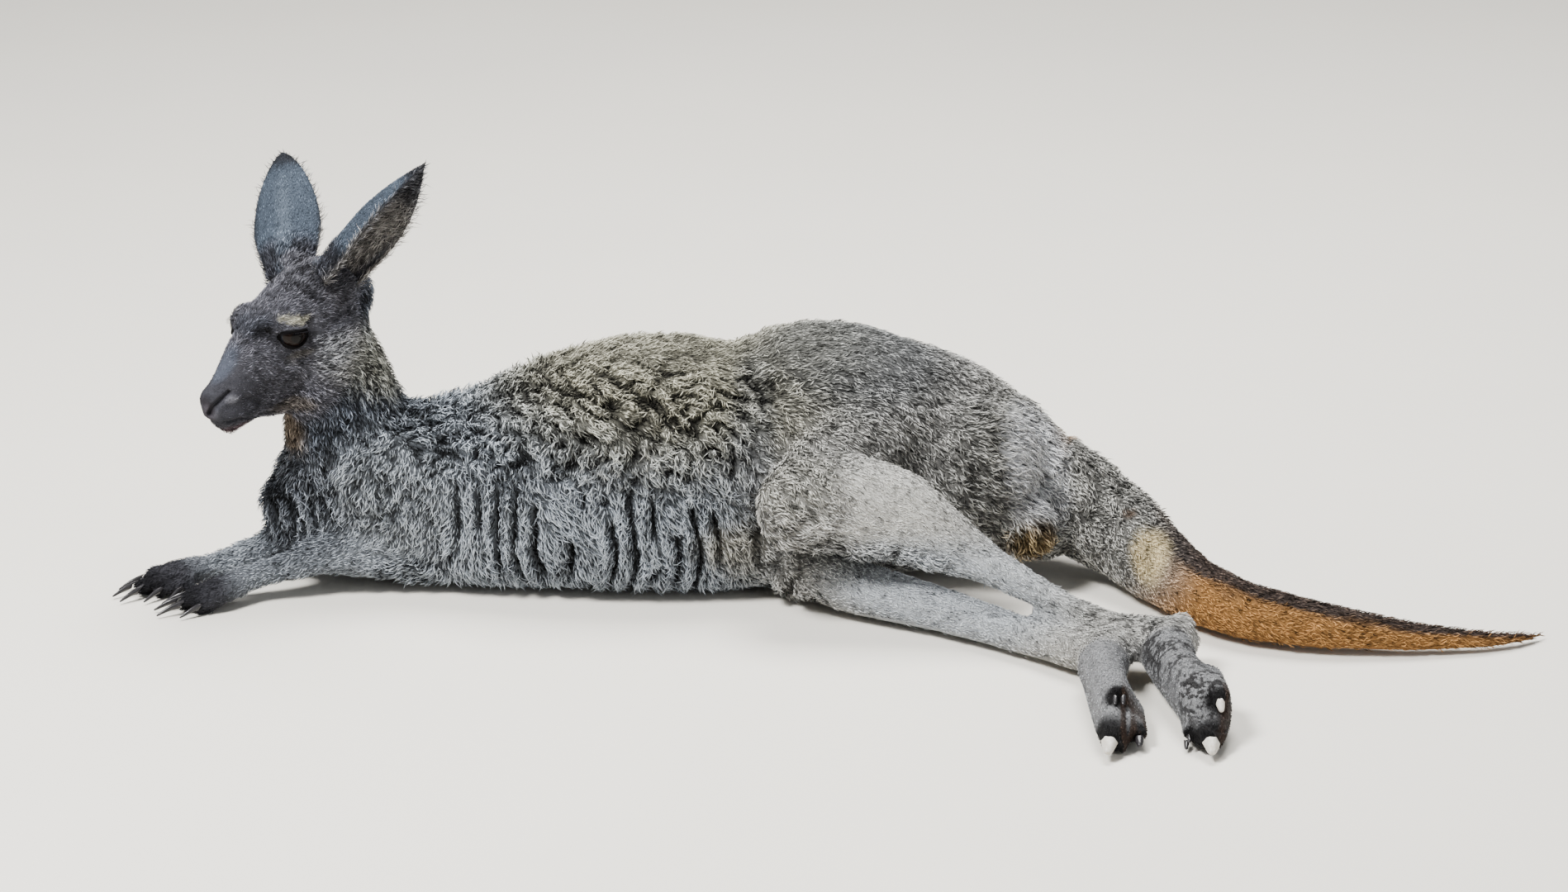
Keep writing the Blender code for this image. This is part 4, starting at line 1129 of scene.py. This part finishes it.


# node, share of its box, radii (mm), root colour, tip colour, strength; in this order: olive
# back, withers, breast, throat, waist, groin, top of the rump, buttock (pale wool painted near
# white as painted light), root of the tail, tuft under the tail, and the two shanks from knee
# to ankle
BODY_MARKS = (
    ("abdomen", (0.52, 0.46, 0.97), (205, 160, 145), "2f2d25", "f2edd2", 0.90),
    ("chest", (0.60, 0.50, 1.00), (120, 90, 45), "1d1e1c", "dad8c4", 0.55),
    ("chest", (0.13, 0.20, 0.35), (75, 75, 75), "0a0c10", "8f959f", 0.75),
    ("neck", (0.13, 0.29, 0.14), (60, 60, 60), "0a0c10", "8f959f", 0.60),
    ("abdomen", (0.87, 0.14, 0.76), (24, 80, 90), "1a1b20", "b4b9c1", 0.45),
    ("abdomen", (0.80, -0.02, 0.25), (50, 48, 34), "47402f", "a89a78", 0.55),
    ("pelvis", (0.32, 0.32, 0.95), (130, 120, 75), "191a1d", "8c8f92", 0.75),
    # painted light: the buttock's pale wool is painted near white where light falls on it from
    # above and the right
    ("pelvis", (0.86, 0.28, 0.52), (40, 80, 70), "a5a7ab", "fdfdfe", 0.95),
    ("tail_root", (0.15, 0.31, 0.60), (24, 60, 34), "8b8d92", "f6f7f8", 0.80),
    ("pelvis", (0.88, 0.08, 0.22), (40, 42, 26), "5a4527", "b49c6c", 0.85),
    ("shank_left", (0.27, 0.61, 0.77), (75, 60, 60), "8e8d88", "ebeae6", 0.80),
    ("shank_left", (0.06, 0.68, 0.90), (60, 50, 50), "55544e", "cfcec4", 0.60),
    ("shank_right", (0.45, 0.45, 0.60), (150, 120, 60), "6d7278", "e4eaf0", 0.85),
    ("shank_right", (0.00, 0.71, 0.50), (45, 45, 45), "3f3e3a", "d9d9d4", 0.70),
)
# node, share of its box, radii (mm), then length, width (mm), lift (degrees), furrow depth (mm)
WOOL_ZONES = (
    ("abdomen", (0.60, 0.50, 1.00), (250, 120, 50), (11, 1.3, 26, 3.0)),
    ("pelvis", (0.35, 0.50, 1.00), (150, 120, 60), (9, 1.2, 20, 1.2)),
    ("abdomen", (0.50, 0.05, 0.06), (170, 60, 30), (19, 1.7, 46, 9.0)),
    ("chest", (0.75, 0.08, 0.08), (110, 60, 30), (18, 1.6, 44, 8.0)),
    ("shank_left", (0.06, 0.68, 0.70), (70, 60, 65), (13, 1.5, 26, 2.2)),
    ("shank_left", (0.10, 0.90, 0.95), (70, 60, 50), (13, 1.5, 24, 1.8)),
    ("shank_left", (0.22, 0.60, 0.42), (100, 40, 18), (15, 1.5, 36, 3.5)),
    ("shank_right", (0.00, 0.71, 0.50), (55, 55, 45), (12, 1.4, 36, 3.5)),
    ("pelvis", (0.87, 0.20, 0.45), (40, 75, 85), (15, 1.4, 24, 0.6)),
    ("pelvis", (0.88, 0.08, 0.22), (45, 45, 28), (16, 1.5, 42, 4.0)),
    ("tail_root", (0.60, 0.50, 0.60), (90, 90, 80), (13, 1.5, 32, 2.6)),
    ("tail_upper", (0.10, 0.80, 0.60), (30, 50, 50), (11, 1.3, 26, 1.5)),
)
# place in the head frame, radii (mm), then length, width (mm), lift (degrees), furrow depth (mm)
HEAD_WOOL_ZONES = (
    ((-0.050, 0.000, 0.0520), (40, 54, 30), (8, 0.8, 24, 0.3)),
    ((-0.030, 0.048, -0.0280), (32, 22, 30), (9, 1.0, 24, 0.6)),
    ((0.015, 0.036, -0.0600), (38, 18, 12), (8.5, 0.9, 36, 0.6)),
    ((0.085, 0.000, -0.0250), (40, 34, 40), (2.6, 0.55, 10, 0.0)),
    ((0.015, 0.020, -0.0700), (34, 22, 12), (9.5, 0.8, 40, 0.4)),
    ((0.010, 0.040, 0.0100), (24, 20, 16), (3.4, 0.7, 14, 0.0)),
)
# place in the head frame, radii (mm), root colour, tip colour, strength; both sides, in this
# order: crown, brow, muzzle, pale patch over the eye (three), lower lid, bridge of the nose,
# cheek, fringe of the jaw, lip, chin, front of the nose, inner corner of the eye, throat
HEAD_MARKS = (
    ((-0.050, 0.020, 0.0520), (44, 46, 26), "0f0f12", "5c5c62", 0.70),
    ((0.040, 0.015, 0.0280), (30, 20, 12), "101115", "4c4f58", 0.80),
    ((0.080, 0.010, -0.0350), (42, 32, 36), "0f0f11", "4b4b52", 0.85),
    ((0.015, 0.041, 0.0335), (10, 12, 4.4), "57564d", "d0cdba", 0.90),
    ((0.004, 0.043, 0.0290), (10, 12, 4.6), "57564d", "d0cdba", 0.90),
    ((-0.007, 0.042, 0.0240), (10, 12, 4.4), "57564d", "d0cdba", 0.90),
    ((0.008, 0.042, -0.0100), (18, 14, 5), "3c3a38", "77736c", 0.60),
    ((0.075, 0.000, 0.0000), (34, 12, 16), "23262e", "69707f", 0.75),
    ((-0.030, 0.048, -0.0250), (26, 16, 24), "1e1e22", "aaacb0", 0.60),
    ((0.020, 0.028, -0.0660), (30, 22, 9), "24201c", "857c72", 0.65),
    ((0.085, 0.022, -0.0300), (7, 10, 5), "3a3a40", "8a8a92", 0.70),
    ((0.084, 0.010, -0.0690), (19, 18, 10), "241f22", "5e4e52", 0.90),
    ((0.106, 0.000, -0.0360), (8, 14, 16), "151316", "3c383d", 0.80),
    ((0.0335, 0.030, 0.0235), (12, 22, 12), "030304", "080708", 1.00),
    ((0.016, 0.002, -0.1030), (20, 28, 26), "352e28", "94836f", 0.80),
)
# path and inward direction, width of its black line (black bare skin, and painted shade inside the
# nostril and the mouth's crease), width without hair
FACE_LINES = ((NOSTRIL_PATH, NOSTRIL_INWARD, 0.0030, 0.0034),
              (MOUTH_PATH, MOUTH_INWARD, 0.0018, 0.0022))
BARE_NOSE = ((0.104, 0.006, -0.038), (7, 11, 9))       # place and radii (mm)


def blob(points, place, radii):
    """1 at the mark's middle, falling softly to 0 past its radii."""
    distance = np.sqrt((((points - place) / (np.array(radii) * 0.001)) ** 2).sum(axis=1))
    return ramp(distance, 1.25, 0.55)


def tint(surface, share, root, tip):
    """Blend a share of two colours, linear or sRGB hex, into the surface's."""
    root, tip = (np.array(linear(c) if isinstance(c, str) else c) for c in (root, tip))
    surface.root_colour = blend(surface.root_colour, root, share[:, None])
    surface.tip_colour = blend(surface.tip_colour, tip, share[:, None])


def mark_tail(surface, colours):
    """Woolly grey root, cream patch, tawny sides and a dark stripe along the top."""
    on_tail = surface.of_kind("tail")
    start, end = along_box("tail_upper", 0, (0.10, 0.60))
    level = at("tail_upper", (0.5, 0.5, 0.62))[2]
    before = ramp(surface.points[:, 0] + 0.5 * (level - surface.points[:, 2]), end, start)
    tint(surface, on_tail * before, colours.rump_root, colours.rump_tip)
    upward = ramp(surface.normals[:, 2] + 0.35 * surface.normals[:, 0], 0.42, 0.90)
    begun = ramp(surface.points[:, 0], start + 0.005, start + 0.045)
    tint(surface, 0.94 * on_tail * upward * begun, "1b1a1c", colours.tail_stripe)
    cream = blob(surface.points, at("tail_upper", (0.19, 0.60, 0.73)), (23, 40, 34))
    tint(surface, 0.95 * on_tail * cream, "9a8a66", "ecdcb2")
    spot = blob(surface.points, at("tail_root", (0.65, 0.15, 0.63)), (9, 9, 9))
    tint(surface, 0.7 * on_tail * spot, "3d291b", "70512f")
    dusky_end = ramp(surface.points[:, 0], *along_box("tail_tip", 0, (0.35, 0.95)))
    tint(surface, 0.6 * on_tail * dusky_end, "241d1a", "5b4334")


# node, share of its box, radii (mm), strength
MOTTLES = (
    ("foot_left", (0.35, 0.80, 0.95), (50, 80, 45), 0.85),
    ("foot_left", (0.65, 0.25, 0.80), (40, 50, 40), 0.90),
    ("foot_right", (0.65, 0.22, 0.80), (30, 26, 30), 0.70),
    ("shank_left", (0.80, 0.14, 0.30), (55, 50, 45), 0.75),
)
BLACK_TOES = {"4": 27, "5": 19, "2": 13, "3": 13}      # radius of the black round each claw, mm


def mark_paws(surface, colours):
    """Black toes, mottled ankles, brown soles, and hands that darken toward the claws."""
    specks = noise(CLUMPS, surface.points / 0.0032) + 0.6 * noise(WARP, surface.points / 0.014)
    mottle = ramp(specks, 0.78, 0.92)
    for node, share, radii, strength in MOTTLES:
        near = surface.of_kind("foot", "shank") * blob(surface.points, at(node, share), radii)
        tint(surface, strength * near * mottle, "0f0e0f", "2c2a2a")
    on_foot = surface.of_kind("foot")
    for side in ("left", "right"):
        for toe, reach in BLACK_TOES.items():
            claw = at(f"claw_{side}_toe_{toe}", (0.5, 1.0, 0.6))
            tint(surface, 0.95 * on_foot * blob(surface.points, claw, (reach,) * 3),
                 colours.black, colours.black)
        pad = on_foot * ramp(surface.normals[:, 0], 0.35, 0.75)
        heel = ramp(surface.points[:, 1], *along_box("foot_" + side, 1, (0.45, 0.25)))
        inside = surface.of_nodes("foot_" + side)
        tint(surface, 0.75 * inside * pad * heel, "241c19", "4a3c33")
        knuckles = np.mean([centre(f"claw_{side}_finger_{number}") for number in (2, 3, 4)],
                           axis=0)
        gap = np.linalg.norm(surface.points - knuckles, axis=1)
        on_hand = surface.of_nodes("hand_" + side)
        tint(surface, on_hand * ramp(gap, 0.050, 0.085) * 0.75, colours.arm_root, "a9afb7")
        tint(surface, on_hand * ramp(gap, 0.044, 0.022), colours.black, colours.hand)


def mark_body(surface, colours):
    """All markings that skin and coat share, with painted light on the buttock and painted shade
    in the nostrils and the mouth line.
    """
    mark_tail(surface, colours)
    for node, share, radii, root, tip, strength in BODY_MARKS:
        tint(surface, strength * blob(surface.points, at(node, share), radii), root, tip)
    on_head = surface.of_kind("head", "nose", "neck")
    local = folded(surface.local)
    for place, radii, root, tip, strength in HEAD_MARKS:
        tint(surface, strength * on_head * blob(local, np.array(place), radii), root, tip)
    # painted shade: the black lines fill the nostrils and the mouth's crease, over their black
    # bare skin
    for path, inward, width, _ in FACE_LINES:
        line = line_share(local, path, inward, width)
        tint(surface, on_head * line, colours.black, colours.black)
    mark_paws(surface, colours)


def bare_places(surface):
    """Thin out the coat on nose, nostrils, mouth and lids; returns where the lids are black."""
    share = np.ones(len(surface.points))
    local = folded(surface.local)
    reach, along, up, outward = eye_angles(local)
    gap = lid_distance(along, up)
    near = surface.of_kind("head") * (reach < EYE_BALL + 0.010) * (outward > 0)
    share = share * (1 - near * (gap < 0.16 + 0.14 * (up < 0)))
    on_muzzle = surface.of_kind("head", "nose")
    share = share * (1 - on_muzzle * blob(local, *BARE_NOSE))
    for path, inward, _, width in FACE_LINES:
        share = share * (1 - on_muzzle * line_share(local, path, inward, width))
    surface.haired_share = share
    return near * ramp(gap, 0.24 + 0.16 * (up < 0), 0.14 + 0.14 * (up < 0))


# ---- operators ------------------------------------------------------------------------------
FINE_KINDS = ("head", "nose", "hand", "foot")
DEPTH_PASSES = 10             # blur of the coat's depth over the parts' borders
CROWN_PASSES, HEAD_PASSES = 60, 4      # smoothing before the face is sculpted
FACE_LOW, FACE_HIGH = (-0.035, -0.07, -0.10), (0.13, 0.07, 0.045)      # in the head frame
ROUND_EYE = 0.024


class KANGAROO_OT_skin(bpy.types.Operator):
    """Make the one skin that stands for every node of flesh"""
    bl_idname = "kangaroo.skin"
    bl_label = "Skin"

    def execute(self, context):
        sizes, colours = context.scene.kangaroo_sizes, context.scene.kangaroo_colours
        shape = fused_flesh(sizes.voxel)
        mesh = shape.data
        self.sink(mesh)
        self.refine(mesh)
        self.sculpt(mesh)
        append_ears(mesh)
        unwrap(shape)
        surface = Surface(shape)
        surface.measure(colours.by_kind())
        sunk = (1 - surface.valley) * surface.furrow * 0.001
        surface.points = surface.points - surface.normals * sunk[:, None]
        surface.points[:, 2] = np.maximum(surface.points[:, 2], LAID_ON_FLOOR)
        set_vertices(mesh, surface.points)
        surface.normals = vertex_normals(mesh)
        mark_body(surface, colours)
        lids = bare_places(surface)
        tint(surface, lids, colours.black, colours.black)
        self.paint(mesh, surface, sizes)
        mesh.shade_smooth()
        mesh.materials.clear()
        mesh.materials.append(skin_finish())
        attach(shape, "root")
        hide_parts(*FLESH, *EARS)
        SURFACE["skin"], SURFACE["arrays"] = shape, surface
        return {"FINISHED"}

    @staticmethod
    def sink(mesh):
        """Smooth each part as its kind asks for and sink it by its coat's depth."""
        edges = edge_array(mesh)
        parts = nearest_parts(vertex_array(mesh), FLESH)
        points = soften(vertex_array(mesh), edges, table_column(FLESH, parts, PASSES))
        set_vertices(mesh, points)
        depth = blurred(table_column(FLESH, parts, DEPTH)[:, None], edges, DEPTH_PASSES) * 0.001
        set_vertices(mesh, points - vertex_normals(mesh) * depth)
        small = [FLESH.index(node) for node in FLESH if kind_of(node) in FINE_KINDS]
        divided(mesh, np.isin(parts, small))

    @staticmethod
    def refine(mesh):
        """Finer skin at the paws, the face and round the eyes."""
        divided(mesh, near_claws(vertex_array(mesh)))
        local = to_head(vertex_array(mesh))
        divided(mesh, ((local > FACE_LOW) & (local < FACE_HIGH)).all(axis=1))
        local = folded(to_head(vertex_array(mesh)))
        divided(mesh, np.linalg.norm(local - EYE_CENTRE, axis=1) < ROUND_EYE)

    @staticmethod
    def sculpt(mesh):
        """Smooth the crown, then shape the face, the fingers and the toes."""
        points = vertex_array(mesh)
        local = to_head(points)
        on_head = (local[:, 0] > -0.06) & (points[:, 2] > 0.5 * TRUNK_TOP)
        crown = (local[:, 0] < -0.015) & (local[:, 2] > 0.028) & on_head
        passes = np.where(crown, CROWN_PASSES, np.where(on_head, HEAD_PASSES, 1))
        points = soften(points, edge_array(mesh), passes)
        set_vertices(mesh, part_toes(sculpt_face(points)))

    @staticmethod
    def paint(mesh, surface, sizes):
        """Colours of the hide as the coat above it shows them, with painted shade at the bottom of
        the furrows.
        """
        # painted shade: the hide is darkened at the bottom of the furrows
        painted_furrow_shade = 1 - (1 - surface.valley) * np.clip(surface.furrow / 4, 0, 1) * sizes.furrow_shade
        bare = (1 - surface.haired_share)[:, None]
        tips = 0.40 - 0.25 * np.clip(surface.length / 12, 0, 1)[:, None]
        under = blend(surface.root_colour, surface.tip_colour, tips)
        colour = blend(under, surface.tip_colour, bare) * painted_furrow_shade[:, None]
        store_colours(mesh, colour.clip(0, 1))


class KANGAROO_OT_coat(bpy.types.Operator):
    """Grow the tufts of the coat on the skin"""
    bl_idname = "kangaroo.coat"
    bl_label = "Coat"

    def execute(self, context):
        if "skin" not in SURFACE:
            raise RuntimeError("make the skin before its coat")
        grow_coat(SURFACE["skin"], SURFACE["arrays"], context.scene.kangaroo_sizes, fur_finish())
        return {"FINISHED"}


def eyeball(name, side, colours):
    """Ball with a raised cornea, coloured by rings round its axis."""
    builder = bmesh.new()
    bmesh.ops.create_uvsphere(builder, u_segments=48, v_segments=32, radius=1.0)
    mesh = built_mesh(builder, name)
    ball = vertex_array(mesh)
    off_axis = np.arccos(ball[:, 2].clip(-1, 1))
    swell = 1 + 0.07 * ramp(off_axis, 0.80, 0.35)
    look = EYE_LOOK * (1, side, 1)
    turn = np.array(Vector((0, 0, 1)).rotation_difference(Vector(look)).to_matrix())
    place = EYE_CENTRE if side > 0 else (EYE_CENTRE + RIGHT_EYE_SHIFT) * (1, -1, 1)
    local = (ball * swell[:, None] * EYE_BALL) @ turn.T + place
    pupil, white = np.array(linear("050405")), np.array(linear("14161b"))
    iris = np.array(colours.iris)
    colour = pupil + (iris - pupil) * ramp(off_axis, 0.30, 0.42)[:, None]
    colour = colour + (white - colour) * ramp(off_axis, 0.85, 1.0)[:, None]
    set_vertices(mesh, from_head(local))
    store_colours(mesh, colour)
    mesh.shade_smooth()
    return linked(name, mesh)


LASHES = 22
LASH_LENGTH, LASH_WIDTH = 0.0045, 0.0006


def lash_mesh(name, side):
    """A row of curved lashes along the edge of the upper lid."""
    roots, lies, normals = [], [], []
    for share in np.linspace(-0.80, 0.80, LASHES):
        arch = math.sqrt(1 - abs(share) ** LID_POWER)
        along, up = share * SLIT_REACH, LID_UPPER * arch + 0.03
        axis = EYE_LOOK * math.cos(along) + EYE_ALONG * math.sin(along)
        outward = axis * math.cos(up) + EYE_UP * math.sin(up)
        roots.append(EYE_CENTRE + outward * (EYE_BALL + 0.0018))
        lies.append(unit(outward * 0.9 - EYE_UP * 0.35 + EYE_ALONG * share * 0.6))
        normals.append(unit(EYE_UP * 0.9 + outward * 0.4))
    roots, lies, normals = (np.array(rows) for rows in (roots, lies, normals))
    normals = unit(levelled(normals, lies))
    count = len(roots)
    points = tuft_points(roots, normals, lies, np.full((count, 1), LASH_LENGTH),
                         np.full(count, LASH_WIDTH), np.full(count, -0.15), np.zeros(count))
    if side < 0:
        points = (points + RIGHT_EYE_SHIFT) * (1, -1, 1)
    points = from_head(points.reshape(-1, 3)).reshape(count, 7, 3)
    shades = np.full((count, 7, 3), linear("1a191c"))
    uv_roots = np.stack([np.linspace(0.05, 0.95, count), np.full(count, 0.5)], axis=1)
    mesh = tuft_mesh(name, points, uv_roots, shades, np.zeros((count, 7, 3)))
    if side < 0:
        mesh.flip_normals()
    return mesh


class KANGAROO_OT_eyes(bpy.types.Operator):
    """Set the eyeballs in the lids and give them lashes"""
    bl_idname = "kangaroo.eyes"
    bl_label = "Eyes"

    def execute(self, context):
        colours = context.scene.kangaroo_colours
        wet, hair = eye_finish(), fur_finish()
        hair.name = "lash_hair"
        for node, side in (("eye_left", 1), ("eye_right", -1)):
            ball = eyeball(node + "_ball", side, colours)
            ball.data.materials.append(wet)
            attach(ball, "root")
            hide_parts(node)
            lashes = linked(node + "_lashes", lash_mesh(node + "_lashes", side))
            lashes.data.materials.append(hair)
            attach(lashes, "root")
        return {"FINISHED"}


class KANGAROO_OT_claws(bpy.types.Operator):
    """Give every claw and nail a smooth horn surface"""
    bl_idname = "kangaroo.claws"
    bl_label = "Claws"

    def execute(self, context):
        colours = context.scene.kangaroo_colours
        dark = claw_finish("horn_grown_dark", tuple(colours.horn), linear("2b292a"))
        pale = claw_finish("horn_grown_pale", tuple(colours.nail), linear("a2957f"))
        for node in CLAWS:
            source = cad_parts[node].data
            shape = linked(node + "_horn", source.copy())
            weld = shape.modifiers.new("Weld", "WELD")
            weld.merge_threshold = 0.00001
            rounding = shape.modifiers.new("Rounding", "SUBSURF")
            rounding.levels = rounding.render_levels = 2
            bake_modifiers(shape)
            big_toe = source.materials[0].name.startswith("horn_pale")
            shape.data.materials.clear()
            shape.data.materials.append(pale if big_toe else dark)
            shape.data.shade_smooth()
            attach(shape, "root")
            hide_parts(node)
        return {"FINISHED"}


def area_light(name, place, target, size, power, colour):
    """A square lamp that faces its target."""
    lamp = bpy.data.lights.new(name, "AREA")
    lamp.shape, lamp.size, lamp.energy = "SQUARE", size, power
    lamp.color = colour
    shape = linked(name, lamp)
    shape.location = place
    shape.rotation_euler = (Vector(target) - Vector(place)).to_track_quat("-Z", "Y").to_euler()


CAMERA_TARGET = (-0.0388, 0.1769, 0.150)
FLOOR_HALF = 12               # half the floor's width
SKY, SKY_STRENGTH = (0.86, 0.89, 0.93, 1), 0.32
# name, place, target, size, power (W), colour
LAMPS = (
    ("key", (-1.6, -1.4, 3.2), (0, 0.1, 0.1), 1.0, 340, (1.0, 0.995, 0.985)),
    ("fill", (2.4, -2.6, 1.8), (0, 0.1, 0.1), 2.5, 30, (0.93, 0.96, 1.0)),
    ("top", (0.4, 1.3, 3.3), (0, 0.1, 0.15), 1.8, 230, (1.0, 0.99, 0.97)),
)


class KANGAROO_OT_stage(bpy.types.Operator):
    """Lay the floor and set the lights and the camera"""
    bl_idname = "kangaroo.stage"
    bl_label = "Stage"

    def execute(self, context):
        sizes, colours = context.scene.kangaroo_sizes, context.scene.kangaroo_colours
        builder = bmesh.new()
        bmesh.ops.create_grid(builder, x_segments=8, y_segments=8, size=FLOOR_HALF)
        floor = linked("floor", built_mesh(builder, "floor"))
        floor.data.materials.append(floor_finish(tuple(colours.floor)))
        world = bpy.data.worlds.new("studio")
        world.use_nodes = True
        sky = world.node_tree.nodes["Background"]
        sky.inputs["Color"].default_value = SKY
        sky.inputs["Strength"].default_value = SKY_STRENGTH
        context.scene.world = world
        for row in LAMPS:
            area_light(*row)
        lens = bpy.data.cameras.new("camera")
        lens.sensor_width, lens.lens = 36.0, sizes.camera_lens
        camera = linked("camera", lens)
        rise = sizes.camera_height
        offset = Vector((0, -math.cos(rise), math.sin(rise))) * sizes.camera_distance
        camera.location = Vector(CAMERA_TARGET) + offset
        camera.rotation_euler = (math.pi / 2 - rise, 0, 0)
        context.scene.camera = camera
        return {"FINISHED"}


class KANGAROO_PT_panel(bpy.types.Panel):
    """Lists the steps and the settings"""
    bl_idname = "KANGAROO_PT_panel"
    bl_label = "Kangaroo"
    bl_space_type = "VIEW_3D"
    bl_region_type = "UI"
    bl_category = "Kangaroo"

    def draw(self, context):
        layout = self.layout
        for operator in OPERATORS:
            layout.operator(operator.bl_idname)
        for group in (context.scene.kangaroo_sizes, context.scene.kangaroo_colours):
            for name in group.bl_rna.properties.keys():
                if name not in ("rna_type", "name"):
                    layout.prop(group, name)


OPERATORS = (KANGAROO_OT_skin, KANGAROO_OT_coat, KANGAROO_OT_eyes, KANGAROO_OT_claws,
             KANGAROO_OT_stage)
CLASSES = (KangarooSizes, KangarooColours, *OPERATORS, KANGAROO_PT_panel)


def register():
    for item in CLASSES:
        bpy.utils.register_class(item)
    bpy.types.Scene.kangaroo_sizes = PointerProperty(type=KangarooSizes)
    bpy.types.Scene.kangaroo_colours = PointerProperty(type=KangarooColours)


def unregister():
    del bpy.types.Scene.kangaroo_colours
    del bpy.types.Scene.kangaroo_sizes
    for item in reversed(CLASSES):
        bpy.utils.unregister_class(item)


def main():
    register()
    bpy.ops.kangaroo.skin()
    bpy.ops.kangaroo.coat()
    bpy.ops.kangaroo.eyes()
    bpy.ops.kangaroo.claws()
    bpy.ops.kangaroo.stage()


if __name__ == "__main__":
    main()
